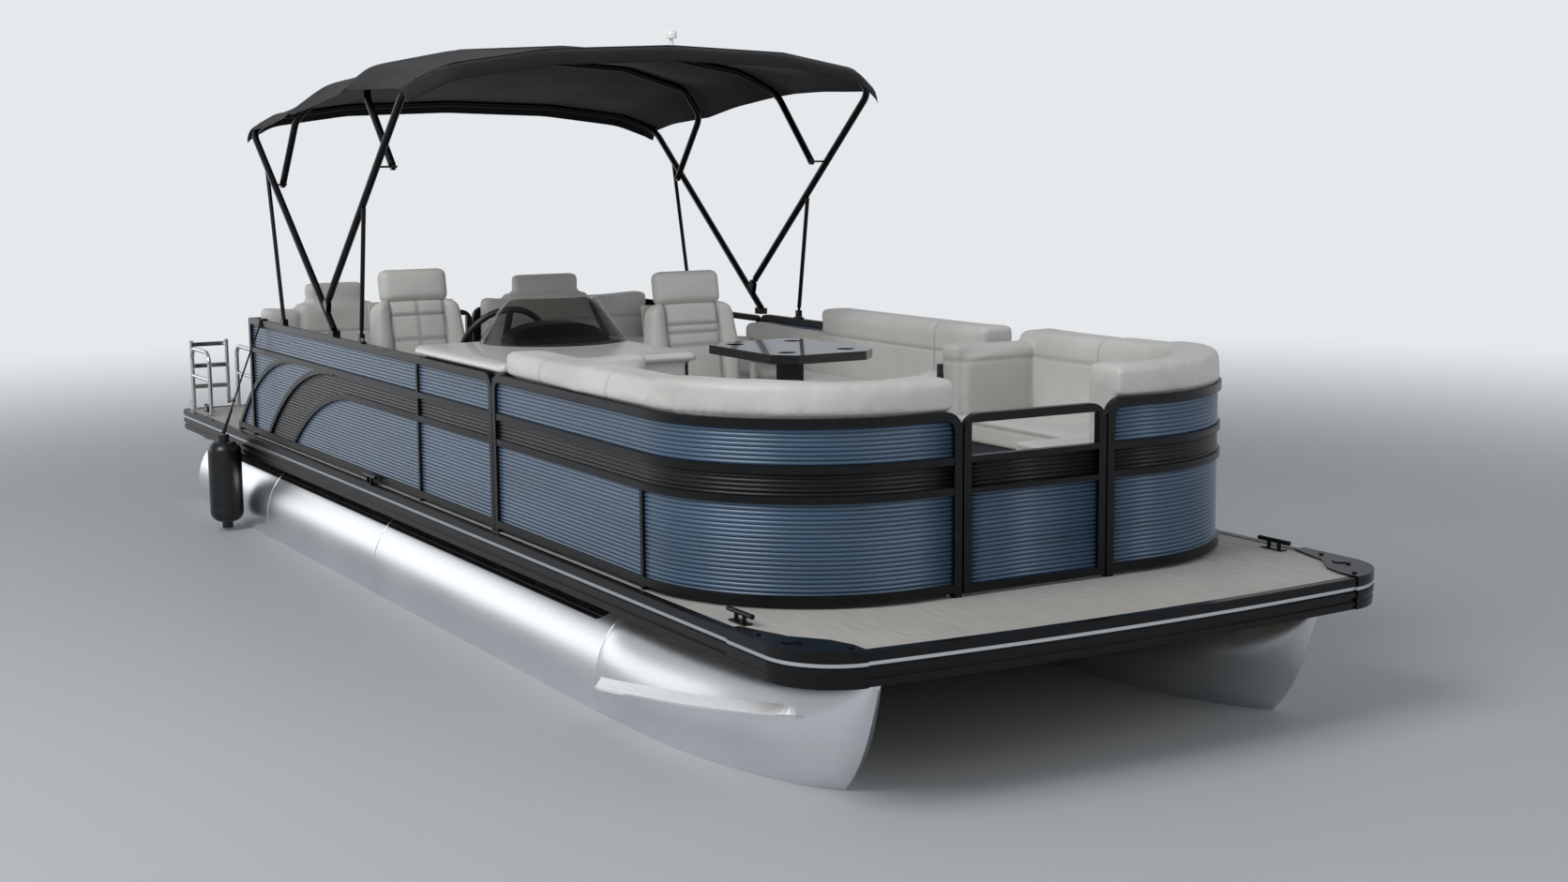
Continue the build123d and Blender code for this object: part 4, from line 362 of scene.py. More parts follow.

# Rub rail and corner castings: a black extruded rail round the deck's edge and two castings that carry it
# round the bow corners. A painted highlight, a bright metallic line along the middle band of both, is drawn
# by height.
deck = 0.552
rail_low = deck - 0.116
rail_high = deck + 0.003
extruded, tree, shader, place = new_finish("black_extruded_rub_rail")
axes = add(tree, "ShaderNodeSeparateXYZ", {}, {0: place})
level = add(tree, "ShaderNodeMapRange", {},
            {"Value": axes.outputs["Z"], "From Min": rail_low, "From Max": rail_high})
# Painted highlight: the middle band bright and metallic, where the sky's highlight lies along the rail.
painted_highlight = add(tree, "ShaderNodeValToRGB", {}, {"Fac": level},
           [(0.60, "#000000"), (0.61, "#FFFFFF"), (0.70, "#FFFFFF"), (0.71, "#000000")])
rubbed = add(tree, "ShaderNodeMapping", {}, {"Vector": place, "Scale": (4, 18, 60)})
scuff = add(tree, "ShaderNodeTexNoise", {}, {"Vector": rubbed, "Scale": 1.0, "Detail": 5.0})
dark = add(tree, "ShaderNodeValToRGB", {}, {"Fac": scuff}, [(0.45, "#08090A"), (0.75, "#141516")])
colour = add(tree, "ShaderNodeMix", {"data_type": "RGBA"}, {0: painted_highlight, 6: dark, 7: "#D5D7D8"})
feed(tree, shader, {"Base Color": colour.outputs[2], "Metallic": painted_highlight, "Roughness": 0.26,
                    "Specular IOR Level": 0.25})
put_on(extruded, "rub_rail", "corner_castings")

# Fence skins: pre-painted aluminium sheet rolled with ribs every 16 mm, slate blue below and above a black
# band. Each side is one ribbed sheet behind the tubes, and its columns are points along the fence's outline.
fence_y = 1.250
fence_front = 3.330
bow_bend = 0.716
skin_in = 0.015
skin_aft = -2.360
skin_low = 0.040
skin_high = 0.648
rib_pitch = 0.016
rib_depth = 0.0024
band_low = 0.383
band_high = 0.490
leaf_low = 0.030
leaf_high = 0.488
leaf_band_low = 0.380
# Each arch of tube at the stern: its foot and its tip along the boat, and its top over the deck.
high_arch = (-2.660, -1.530, 0.504)
middle_arch = (-2.100, -0.900, 0.500)
low_arch = (-1.660, -0.580, 0.397)
arch_foot_z = 0.028
arch_tube_half = 0.0135


def applied(piece, kind, **settings):
    """Gives the active piece a modifier with its settings and applies it."""
    modifier = piece.modifiers.new("shaping", kind)
    for name, value in settings.items():
        setattr(modifier, name, value)
    bpy.ops.object.modifier_apply(modifier="shaping")


def below_arch(x, z, foot, tip, top):
    """True where a point of the side view lies under an arch, or past its tip."""
    if x >= tip:
        return True
    climb = top - arch_foot_z
    radius = ((tip - foot) ** 2 + climb ** 2) / (2 * climb)
    return x > foot and math.hypot(x - tip, z - top + radius) < radius - arch_tube_half


def side_paint(x, z):
    """0 for slate blue, 1 for black and None where there is no sheet."""
    if x >= low_arch[1]:
        return 1 if band_low < z < band_high else 0
    if z > band_high or not below_arch(x, z, *high_arch):
        return 0 if x > skin_aft else None
    return 1 if below_arch(x, z, *middle_arch) and not below_arch(x, z, *low_arch) else 0


def ribbed_sheet(name, columns, low, high, colouring, gap):
    """A ribbed sheet through columns of (x, y, outward normal), between two heights above the deck."""
    rows = int(round((high - low) / rib_pitch * 5))
    last = len(columns) - 1
    sheet = grid(name, last, rows)
    mesh = sheet.data
    for vertex in mesh.vertices:
        x, y, out_x, out_y = columns[min(last, int(round((vertex.co.x + 1) / 2 * last)))]
        height = low + (high - low) * (vertex.co.y + 1) / 2
        wave = math.cos(2 * math.pi * height / rib_pitch)
        out = rib_depth * (1 - 2 * abs(math.acos(max(-1, min(1, wave))) / math.pi) ** 1.5)
        vertex.co = (x + out * out_x, y + out * out_y, deck + height)
    mesh.update()
    doomed = []
    aft, fore, right_y, left_y = gap
    for face in mesh.polygons:
        x, y, z = face.center
        tone = colouring(x, z - deck)
        if tone is None or aft < x < fore and right_y < y < left_y:
            doomed.append(face.index)
        else:
            face.material_index = tone
    bpy.ops.object.mode_set(mode="EDIT")
    shape = bmesh.from_edit_mesh(mesh)
    shape.faces.ensure_lookup_table()
    bmesh.ops.delete(shape, geom=[shape.faces[i] for i in doomed], context="FACES")
    bmesh.update_edit_mesh(mesh)
    bpy.ops.object.mode_set(mode="OBJECT")
    bpy.ops.object.shade_smooth()
    return sheet


def painted(name, low_code, high_code, gloss):
    """Baked gloss paint on ribbed sheet, with painted shade in its grooves and a soft change in tone."""
    material, tree, shader, place = new_finish(name)
    rolled = add(tree, "ShaderNodeMapping", {}, {"Vector": place, "Scale": (1.2, 1.2, 9)})
    tone = add(tree, "ShaderNodeTexNoise", {}, {"Vector": rolled, "Scale": 1.0, "Detail": 3.0})
    plain = add(tree, "ShaderNodeValToRGB", {}, {"Fac": tone}, [(0.3, low_code), (0.7, high_code)])
    axes = add(tree, "ShaderNodeSeparateXYZ", {}, {0: place})
    row = add(tree, "ShaderNodeMath", {"operation": "MULTIPLY_ADD"},
              {0: axes.outputs["Z"], 1: 1 / rib_pitch, 2: -deck / rib_pitch})
    share = add(tree, "ShaderNodeMath", {"operation": "FRACT"}, {0: row})
    # Painted shade: the middle of each rib's groove darkened, as shade falls in it.
    shade = add(tree, "ShaderNodeValToRGB", {}, {"Fac": share},
                [(0.30, "#FFFFFF"), (0.44, "#6E6E6E"), (0.56, "#6E6E6E"), (0.70, "#FFFFFF")])
    groove_shaded = add(tree, "ShaderNodeMix", {"data_type": "RGBA", "blend_type": "MULTIPLY"},
                  {0: 1.0, 6: plain, 7: shade})
    waved = add(tree, "ShaderNodeMapping", {}, {"Vector": place, "Scale": (26, 26, 4)})
    ripple = add(tree, "ShaderNodeTexNoise", {}, {"Vector": waved, "Scale": 1.0, "Detail": 2.0})
    bump = add(tree, "ShaderNodeBump", {}, {"Strength": 0.12, "Distance": 0.004, "Height": ripple})
    feed(tree, shader, {"Base Color": groove_shaded.outputs[2], "Metallic": 0.2, "Roughness": 0.42,
                        "Specular IOR Level": gloss, "Coat Weight": gloss / 2, "Coat Roughness": 0.18,
                        "Normal": bump})
    return material


slate_paint = painted("slate_blue_sheet_paint", "#385068", "#46607A", 0.5)
black_paint = painted("black_sheet_paint", "#0B0C0D", "#141517", 0.25)


def finish_sheet(sheet, body, *replaced):
    """Gives a sheet its thickness, its two paints and its place on the boat."""
    applied(sheet, "SOLIDIFY", thickness=0.0012, offset=0)
    sheet.data.materials.append(slate_paint)
    sheet.data.materials.append(black_paint)
    if replaced:
        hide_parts(*replaced)
    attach(sheet, body)


# Each gap for a gate: its ends along the boat, then across it.
no_gap = (0, 0, 0, 0)
side_gate_gap = (-1.516, -0.864, 1.0, 1.3)
stern_gate_gap = (-3, -2, -0.454, 0.104)
for sheet_name, side, gate_post, gap, replaced in (
    ("starboard_skins", -1, -0.343, no_gap, ["fence_panels", "fence_bands"]),
    ("port_skins", 1, 0.308, side_gate_gap, []),
):
    side_y = side * (fence_y - skin_in)
    columns = [(-2.640 + step * 0.02, side_y, 0, side) for step in range(105)]
    columns += [(x, side_y, 0, side) for x in (0.1, 0.9, 1.7, fence_front - bow_bend)]
    for step in range(1, 25):
        turn = math.radians(90 * step / 24)
        reach = bow_bend - skin_in
        columns.append((fence_front - bow_bend + reach * math.sin(turn),
                        side * (fence_y - bow_bend + reach * math.cos(turn)),
                        math.sin(turn), side * math.cos(turn)))
    columns.append((fence_front - skin_in, gate_post + side * 0.016, 1, 0))
    skins = ribbed_sheet(sheet_name, columns, skin_low, skin_high, side_paint, gap)
    finish_sheet(skins, "hull", *replaced)
columns = [(-2.370 + skin_in, y, -1, 0) for y in (-1.225, -0.8, -0.454, 0.104, 0.6, 1.225)]
stern_skins = ribbed_sheet("stern_skins", columns, skin_low, skin_high, lambda x, z: 0, stern_gate_gap)
finish_sheet(stern_skins, "hull")
for gate_name, spots, normal in (
    ("bow_gate", [(3.314, -0.305), (3.314, 0.270)], (1, 0)),
    ("side_gate", [(-1.462, 1.234), (-0.918, 1.234)], (0, 1)),
    ("stern_gate", [(-2.354, -0.400), (-2.354, 0.050)], (-1, 0)),
):
    columns = [(x, y, *normal) for x, y in spots]
    leaf = ribbed_sheet(gate_name + "_leaf", columns, leaf_low, leaf_high,
                        lambda x, z: 1 if z > leaf_band_low else 0, no_gap)
    finish_sheet(leaf, gate_name + "_leaf", gate_name + "_skins")

# Seats: foam cushions in stitched marine vinyl, warm pale grey, on moulded bases.
# Each cushion is blown up a little from the shape of its foam, so that its faces crown and its edges round.
# The vinyl has a pebble grain of 2 mm and soft creases some 110 mm apart.
vinyl, tree, shader, place = new_finish("marine_vinyl_pale_grey")
pebble = add(tree, "ShaderNodeTexVoronoi", {}, {"Vector": place, "Scale": 520.0})
crease = add(tree, "ShaderNodeTexNoise", {}, {"Vector": place, "Scale": 9.0, "Detail": 5.0})
cloud = add(tree, "ShaderNodeTexNoise", {}, {"Vector": place, "Scale": 2.4, "Detail": 3.0})
plain = add(tree, "ShaderNodeValToRGB", {}, {"Fac": cloud}, [(0.3, "#B2AFAB"), (0.7, "#C1BFBB")])
seam = add(tree, "ShaderNodeAttribute", {"attribute_name": "seam"}, {})
skin = add(tree, "ShaderNodeMix", {"data_type": "RGBA"}, {0: seam.outputs["Fac"], 6: plain, 7: "#3A3B40"})
rough = add(tree, "ShaderNodeMapRange", {}, {"Value": crease, "To Min": 0.42, "To Max": 0.6})
fold = add(tree, "ShaderNodeBump", {}, {"Strength": 0.18, "Distance": 0.01, "Height": crease})
bump = add(tree, "ShaderNodeBump", {},
           {"Strength": 0.12, "Distance": 0.0008, "Height": pebble, "Normal": fold})
feed(tree, shader, {"Base Color": skin.outputs[2], "Roughness": rough, "Sheen Weight": 0.1, "Normal": bump})


def remeshed(source, name, voxel, passes):
    """A copy of a CAD shape in even small faces, eased by some passes of smoothing."""
    copy = source.copy()
    copy.data = source.data.copy()
    copy.parent = None
    bpy.context.scene.collection.objects.link(copy)
    copy.name = name
    select(copy)
    bpy.ops.object.mode_set(mode="EDIT")
    bpy.ops.mesh.select_all(action="SELECT")
    bpy.ops.mesh.remove_doubles(threshold=0.0002)
    bpy.ops.object.mode_set(mode="OBJECT")
    copy.data.remesh_voxel_size = voxel
    bpy.ops.object.voxel_remesh()
    applied(copy, "SMOOTH", iterations=passes)
    return copy


def stuffed(source, name):
    """A copy of a foam shape, blown up by a short cloth simulation."""
    cushion = remeshed(source, name, foam_voxel, 4)
    start = [v.co.copy() for v in cushion.data.vertices]
    cloth = cushion.modifiers.new("cloth", "CLOTH")
    cloth.settings.effector_weights.gravity = 0
    cloth.settings.use_pressure = True
    cloth.settings.uniform_pressure_force = 3.0
    cloth.settings.quality = 3
    cloth.collision_settings.use_collision = False
    cloth.point_cache.frame_start = 1
    cloth.point_cache.frame_end = 20
    for step in range(1, 17):
        bpy.context.scene.frame_set(step)
    bpy.ops.object.modifier_apply(modifier="cloth")
    bpy.context.scene.frame_set(1)
    for vertex, at in zip(cushion.data.vertices, start):
        move = vertex.co - at
        if move.length > swell_cap:
            vertex.co = at + move * (swell_cap / move.length)
    applied(cushion, "SUBSURF", levels=1, render_levels=1)
    bpy.ops.object.shade_smooth()
    cushion.data.materials.clear()
    cushion.data.materials.append(vinyl)
    return cushion


def sewn(cushion, seams):
    """Draws seams into a cushion, pulled in along its faces."""
    mesh = cushion.data
    marks = mesh.attributes.new("seam", "FLOAT", "POINT")
    normals = [v.normal.copy() for v in mesh.vertices]
    for vertex, normal in zip(mesh.vertices, normals):
        pull = 0.0
        for axis, seam_at, low, high in seams:
            if all(low[i] <= vertex.co[i] <= high[i] for i in range(3)) and abs(normal[axis]) < 0.8:
                pull = max(pull, math.exp(-((vertex.co[axis] - seam_at) / seam_width) ** 2))
        if pull > 0.02:
            vertex.co -= normal * seam_depth * pull
            marks.data[vertex.index].value = seam_ink * pull ** 2


foam_voxel = 0.0185
swell_cap = 0.010
seam_depth = 0.004
seam_width = 0.0075
seam_ink = 0.4
everywhere = ((-9, -9, -9), (9, 9, 9))
# Each seam is a plane: its axis and its place on it, and the corners of the box that it stays in.
for node_name, seams in (
    ("starboard_lounge_backs",
     [(0, 1.72, *everywhere), (0, 2.33, *everywhere), (2, 1.215, (0, -1.11, 0), (2.64, 0, 2))]),
    ("port_lounge_backs", [(0, 2.33, *everywhere), (2, 1.215, (0, 0, 0), (2.64, 1.11, 2))]),
    ("starboard_lounge_seats", [(2, 0.960, *everywhere)]),
    ("port_lounge_seats", [(2, 0.960, *everywhere)]),
    ("couch_backs", [(0, 1.10, *everywhere), (2, 1.185, *everywhere)]),
    ("couch_seats", [(2, 0.962, (-0.64, 0, 0), (1.34, 2, 2))]),
    ("bench_backs", [(2, 1.135, *everywhere)]),
    ("bench_seats", [(2, 0.975, *everywhere)]),
):
    cushions = stuffed(nodes[node_name], node_name[:-1] + "_cushions")
    sewn(cushions, seams)
    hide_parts(node_name)
    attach(cushions, "hull")

# Seat bases: rotomoulded polyethylene boxes behind charcoal vinyl panels.
# They stand on the floor under the cushions, and the vinyl shows a grain of 3 mm.
charcoal, tree, shader, place = new_finish("charcoal_vinyl_panel")
cloud = add(tree, "ShaderNodeTexNoise", {}, {"Vector": place, "Scale": 3.0, "Detail": 3.0})
tone = add(tree, "ShaderNodeValToRGB", {}, {"Fac": cloud}, [(0.3, "#2C2E33"), (0.7, "#383A40")])
grain = add(tree, "ShaderNodeTexNoise", {}, {"Vector": place, "Scale": 300.0, "Detail": 2.0})
bump = add(tree, "ShaderNodeBump", {}, {"Strength": 0.15, "Distance": 0.0006, "Height": grain})
feed(tree, shader, {"Base Color": tone, "Roughness": 0.5, "Normal": bump})
put_on(charcoal, "seat_bases")

# Swivel chairs: high-backed captain's chairs with bolsters, a head pad and padded arms, on cast pedestals.
# Each pad is a block cut into small faces, rounded, then shaped by its bolsters and sewn channels.


def pad(half, edge, cuts, shape, turn, spot):
    """A rounded block of half sizes (across, up, thick), shaped by a function and put in its place."""
    bpy.ops.object.select_all(action="DESELECT")
    bpy.ops.mesh.primitive_cube_add(size=2)
    block = bpy.context.object
    bpy.ops.object.mode_set(mode="EDIT")
    bpy.ops.mesh.select_all(action="SELECT")
    bpy.ops.mesh.subdivide(number_cuts=cuts)
    bpy.ops.object.mode_set(mode="OBJECT")
    marks = block.data.attributes.new("seam", "FLOAT", "POINT")
    inner = [max(size - edge, 0.001) for size in half]
    for vertex in block.data.vertices:
        at = [vertex.co[i] * half[i] for i in range(3)]
        core = [max(-inner[i], min(inner[i], at[i])) for i in range(3)]
        out = Vector([at[i] - core[i] for i in range(3)])
        if out.length > 1e-9:
            reach = max(abs(out[i]) for i in range(3))
            at = [core[i] + out.normalized()[i] * reach for i in range(3)]
        across, along, thick, seam_mark = shape(at[0] / half[0], at[1] / half[1], at[2] / half[2])
        vertex.co = turn @ Vector((across, along, thick)) + spot
        marks.data[vertex.index].value = seam_mark
    bpy.ops.object.shade_smooth()
    return block


def groove(distance, width):
    """How deep a sewn channel is at a distance from its line, from 0 to 1."""
    return math.exp(-(distance / width) ** 2)


def bolster(side, foot):
    """How far a bolster has risen at a distance from the middle, from 0 to 1."""
    return 1 / (1 + math.exp(-(side - foot) / 0.012))


def chair_back(half, channels, middle):
    """A backrest's shape: wings at both sides, round shoulders, and channels at heights from its middle."""
    def shape(u, v, w):
        corner = max(0, (v - 0.7) / 0.3)
        shoulder = 0.2 * (1 - math.sqrt(1 - min(1, corner) ** 2))
        narrow = 1 - (1 - back_top_share) * max(0, (v - 0.1) / 0.9) - shoulder - 0.05 * max(0, -v) ** 2
        across = half[0] * u * narrow
        along = half[1] * v
        side = abs(across)
        wing = bolster(side, 0.165)
        face = max(0, w)
        front = 0.024 * wing - 0.010 * (1 - wing)
        cut = groove(side - back_seam, 0.007)
        if side < back_seam:
            cut = max([cut] + [0.8 * groove(along - channel, channel_width) for channel in channels])
            if middle and along > channels[-1]:
                cut = max(cut, 0.8 * groove(across, channel_width))
            front += 0.010 * math.cos(across / back_seam * math.pi / 2)
        thick = half[2] * w + face * (front - 0.013 * cut)
        thick += 0.012 * (1 - v * v) * (1 - u * u) * w
        return across, along, thick, face * cut * 0.8
    return shape


def plain_pad(half, crown, line=None):
    """A head pad's or arm's shape: crowned faces, with one seam round its side if a line is given."""
    def shape(u, v, w):
        swell = crown * (1 - u * u) * (1 - v * v)
        cut = groove(half[2] * w - line, 0.004) * 0.5 if line is not None else 0
        squeeze = 1 - 0.02 * cut
        return half[0] * u * squeeze, half[1] * v * squeeze, half[2] * w + swell * w, cut * 0.7
    return shape


def chair_seat(half):
    """A seat's shape: bolsters at both sides, a rolled front edge and a sewn line inside each bolster."""
    def shape(u, v, w):
        across = half[0] * u
        along = half[1] * v
        side = abs(across)
        face = max(0, w)
        wing = bolster(side, 0.185)
        cut = max(groove(side - seat_seam, channel_width),
                  0.7 * groove(along - 0.02, channel_width) * (side < seat_seam))
        roll = -0.035 * max(0, (v - 0.55) / 0.45) ** 2
        thick = half[2] * w + face * (0.006 * wing - 0.012 * (1 - wing) - 0.010 * cut + roll)
        thick += 0.012 * (1 - v * v) * (1 - (across / half[0]) ** 2) * face
        return across, along, thick, face * cut * 0.7
    return shape


back_top_share = 0.90
back_seam = 0.146
seat_seam = 0.170
channel_width = 0.006
chair_pan = deck + 0.330
back_half = (0.258, 0.232, 0.044)
head_half = (0.182, 0.086, 0.044)
seat_half = (0.256, 0.186, 0.050)
arm_half = (0.038, 0.168, 0.033)
lean = math.atan2(0.174, 0.985)
out_of_back = Vector((0.985, 0, 0.174))
up_back = Vector((-0.174, 0, 0.985))
facing = Matrix(((0, 0, 1), (1, 0, 0), (0, 1, 0)))
back_turn = Matrix.Rotation(-lean, 3, "Y") @ facing
seat_turn = Matrix(((0, 1, 0), (1, 0, 0), (0, 0, 1)))
for chair, chair_x, chair_y, channels, middle in (
    ("helm_chair", -0.830, -0.735, (0.150, 0.020, -0.110), True),
    ("companion_chair", 0.210, 0.330, (0.120, 0.075, 0.010), False),
):
    foot = Vector((chair_x - 0.220, chair_y, chair_pan + 0.010))
    pads = [
        pad(back_half, 0.042, 44, chair_back(back_half, channels, middle), back_turn,
            foot + up_back * 0.248 + out_of_back * 0.045),
        pad(head_half, 0.040, 18, plain_pad(head_half, 0.010, 0.0), back_turn,
            foot + up_back * 0.553 + out_of_back * 0.044),
        pad(seat_half, 0.040, 36, chair_seat(seat_half), seat_turn,
            Vector((chair_x + 0.072, chair_y, chair_pan + 0.051))),
    ]
    for side in (-1, 1):
        pads.append(pad(arm_half, 0.030, 12, plain_pad(arm_half, 0.004), seat_turn,
                        Vector((chair_x + 0.02, chair_y + side * 0.304, chair_pan + 0.220))))
    upholstery = joined(pads, chair + "_upholstery")
    face_outward()
    upholstery.data.materials.append(vinyl)
    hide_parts(chair + "_cushions")
    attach(upholstery, chair)

# Chair shells: moulded polyethylene in the seats' grey, behind and under the pads.
# It is dull, with a faint change of tone from its mould.
moulded, tree, shader, place = new_finish("moulded_grey_plastic")
cloud = add(tree, "ShaderNodeTexNoise", {}, {"Vector": place, "Scale": 4.0, "Detail": 3.0})
tone = add(tree, "ShaderNodeValToRGB", {}, {"Fac": cloud}, [(0.3, "#A5A19A"), (0.7, "#B3AFA8")])
feed(tree, shader, {"Base Color": tone, "Roughness": 0.5})
put_on(moulded, "helm_chair_shell", "companion_chair_shell")

# Console: a gel-coated moulding in the seats' colour, whose lid laps over the fence's top tube.
# It is a remeshed copy of its CAD body, so that its edges are as round as a moulding's.
gelcoat, tree, shader, place = new_finish("gelcoat_warm_white")
cloud = add(tree, "ShaderNodeTexNoise", {}, {"Vector": place, "Scale": 3.0, "Detail": 2.0})
tone = add(tree, "ShaderNodeValToRGB", {}, {"Fac": cloud}, [(0.3, "#BBB8B4"), (0.7, "#C3C0BC")])
feed(tree, shader, {"Base Color": tone, "Roughness": 0.28, "Coat Weight": 0.3})
moulding = remeshed(nodes["helm_console"], "console_moulding", 0.014, 4)
bpy.ops.object.shade_smooth()
moulding.data.materials.clear()
moulding.data.materials.append(gelcoat)
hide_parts("helm_console")
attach(moulding, "hull")

# Dash: a black moulded hood, crowned from side to side, with the wheel's column and the throttle's box.
# It is a remeshed copy of its plain CAD block, drawn down and in towards both ends. Its grain is leathery,
# in cells of 1.4 mm.
dark_plastic, tree, shader, place = new_finish("black_moulded_plastic")
leathery = add(tree, "ShaderNodeTexVoronoi", {}, {"Vector": place, "Scale": 700.0})
bump = add(tree, "ShaderNodeBump", {}, {"Strength": 0.15, "Distance": 0.0004, "Height": leathery})
feed(tree, shader, {"Base Color": "#131415", "Roughness": 0.42, "Normal": bump})
lid_top = deck + 0.716
hood_x = 0.470
hood_y = -0.630
hood_half = 0.235
hood = remeshed(nodes["helm_dash"], "dash_hood", 0.007, 3)
for vertex in hood.data.vertices:
    if vertex.co.z > lid_top - 0.003:
        share = min(1, abs(vertex.co.y - hood_y) / (hood_half + 0.002))
        crown = (1 - share ** 2.4) ** 0.5
        vertex.co.x = hood_x + (vertex.co.x - hood_x) * (0.45 + 0.55 * crown)
        vertex.co.z = lid_top + (vertex.co.z - lid_top) * (0.10 + 0.90 * crown)
hood.data.update()
bpy.ops.object.shade_smooth()
hood.data.materials.clear()
hood.data.materials.append(dark_plastic)
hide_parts("helm_dash")
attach(hood, "hull")
put_on(dark_plastic, "steering_wheel", "chair_pedestals", "table_leg", "motor_clamp", "motor_swivel",
       "motor_leg")

# Windscreen: one sheet of smoked acrylic 4 mm thick, bent round the dash and leaning aft, with polished
# edges. Its foot follows an arc on the console's lid and its top a smaller arc, lower towards both ends.
smoked, tree, shader, place = new_finish("smoked_acrylic")
feed(tree, shader, {"Base Color": "#A09D99", "Roughness": 0.02, "Transmission Weight": 1.0, "IOR": 1.2})
cut_edge, tree, shader, place = new_finish("polished_acrylic_edge")
feed(tree, shader, {"Base Color": "#DDE1E2", "Roughness": 0.2})
screen_rise = 0.205
# Each arc: its aft ends, its forward middle and its half width.
foot_arc = (0.334, 0.796, 0.316)
head_arc = (0.376, 0.616, 0.220)


def on_arc(arc, share):
    """A point of an arc in plan, at a share of the way from its middle to either end."""
    aft, fore, half = arc
    radius = ((fore - aft) ** 2 + half ** 2) / (2 * (fore - aft))
    turn = math.acos((aft - fore + radius) / radius) * share
    return Vector((fore - radius + radius * math.cos(turn), hood_y + radius * math.sin(turn), 0))


screen = grid("windscreen_sheet", 56, 12)
for vertex in screen.data.vertices:
    share, rise = vertex.co.x, (vertex.co.y + 1) / 2
    plan = on_arc(foot_arc, share).lerp(on_arc(head_arc, share), rise)
    vertex.co = plan + Vector((0, 0, lid_top + screen_rise * rise * (1 - 0.22 * abs(share) ** 5)))
screen.data.update()
screen.data.materials.append(smoked)
screen.data.materials.append(cut_edge)
applied(screen, "SOLIDIFY", thickness=0.004, offset=0, material_offset_rim=1)
bpy.ops.object.shade_smooth_by_angle(angle=math.radians(40))
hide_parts("windscreen")
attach(screen, "hull")

# Table: a polished laminate top with a thick black edge and cup holders. Its upper face carries a painted
# reflection of the sky, pale grey-green, drawn by height just under the top.
table_z = deck + 0.700
laminate, tree, shader, place = new_finish("polished_laminate_painted_reflection")
axes = add(tree, "ShaderNodeSeparateXYZ", {}, {0: place})
top_face = add(tree, "ShaderNodeMath", {"operation": "GREATER_THAN"},
            {0: axes.outputs["Z"], 1: table_z - 0.0008})
fleck = add(tree, "ShaderNodeTexNoise", {}, {"Vector": place, "Scale": 9.0, "Detail": 6.0})
sky_reflection = add(tree, "ShaderNodeValToRGB", {}, {"Fac": fleck}, [(0.35, "#4E5556"), (0.65, "#6B7273")])
# Painted reflection: the upper face pale, the edge below it black.
colour = add(tree, "ShaderNodeMix", {"data_type": "RGBA"}, {0: top_face, 6: "#17181A", 7: sky_reflection})
feed(tree, shader, {"Base Color": colour.outputs[2], "Roughness": 0.12, "Coat Weight": 0.6})
put_on(laminate, "table_top")

# Canopy: one sheet of solution-dyed acrylic canvas, black, sewn in sleeves over four bows and cut in a
# curve between them at both sides. It sags a little from bow to bow and turns down past the end bows.
# Its threads are drawn 1.2 mm apart, coarser than the real ones, which are too fine to show.
canvas, tree, shader, place = new_finish("black_acrylic_canvas")
warp = add(tree, "ShaderNodeTexWave", {"bands_direction": "X"}, {"Vector": place, "Scale": 260.0})
weft = add(tree, "ShaderNodeTexWave", {"bands_direction": "Y"}, {"Vector": place, "Scale": 260.0})
weave = add(tree, "ShaderNodeMath", {"operation": "MULTIPLY"},
            {0: warp.outputs["Fac"], 1: weft.outputs["Fac"]})
dust = add(tree, "ShaderNodeTexNoise", {}, {"Vector": place, "Scale": 3.0, "Detail": 5.0})
tone = add(tree, "ShaderNodeValToRGB", {}, {"Fac": dust}, [(0.35, "#0E0F11"), (0.75, "#17181B")])
slack = add(tree, "ShaderNodeBump", {}, {"Strength": 0.3, "Distance": 0.01, "Height": dust})
bump = add(tree, "ShaderNodeBump", {},
           {"Strength": 0.2, "Distance": 0.0006, "Height": weave, "Normal": slack})
feed(tree, shader, {"Base Color": tone, "Roughness": 0.72, "Specular IOR Level": 0.25, "Sheen Weight": 0.08,
                    "Sheen Roughness": 0.5, "Normal": bump})
bow_half = 1.234
# Each bow in side view, over the deck: its foot, the top of its straight leg and the rise of its crown.
bows = [
    ((-0.887, 0.700), (-2.179, 1.707), 0.260),
    ((-1.799, 1.417), (-1.504, 1.774), 0.385),
    ((-0.182, 1.517), (-0.543, 1.882), 0.315),
    ((-0.981, 0.832), (0.255, 1.872), 0.280),
]
# Each corner of a bow's crown: its share of the half width and its share of the rise.
crown_corners = ((1, 0), (0.86, 0.5), (0.5, 0.87), (0, 1))
crown_bend = 0.17
cloth_lift = 0.021
middle_column = 30
last_column = 60


def rounded(path):
    """A path whose inner corners are drawn as curves."""
    curve = [path[0]]
    for before, corner, after in zip(path, path[1:], path[2:]):
        back = (before - corner).normalized()
        on = (after - corner).normalized()
        half_turn = (math.pi - back.angle(on)) / 2
        reach = min(crown_bend * math.tan(half_turn), (before - corner).length * 0.98,
                    (after - corner).length * 0.5)
        start = corner + back * reach
        end = corner + on * reach
        for step in range(9):
            share = step / 8
            curve.append(start.lerp(corner, share).lerp(corner.lerp(end, share), share))
    return curve + [path[-1]]


def evenly(path):
    """Points at even steps along a path, one for each column of the sheet."""
    lengths = [0.0]
    for a_point, b_point in zip(path, path[1:]):
        lengths.append(lengths[-1] + (b_point - a_point).length)
    points = []
    for number in range(last_column + 1):
        want = lengths[-1] * number / last_column
        at = max(i for i in range(len(lengths)) if lengths[i] <= want + 1e-9)
        at = min(at, len(lengths) - 2)
        share = (want - lengths[at]) / max(1e-9, lengths[at + 1] - lengths[at])
        points.append(path[at].lerp(path[at + 1], share))
    return points


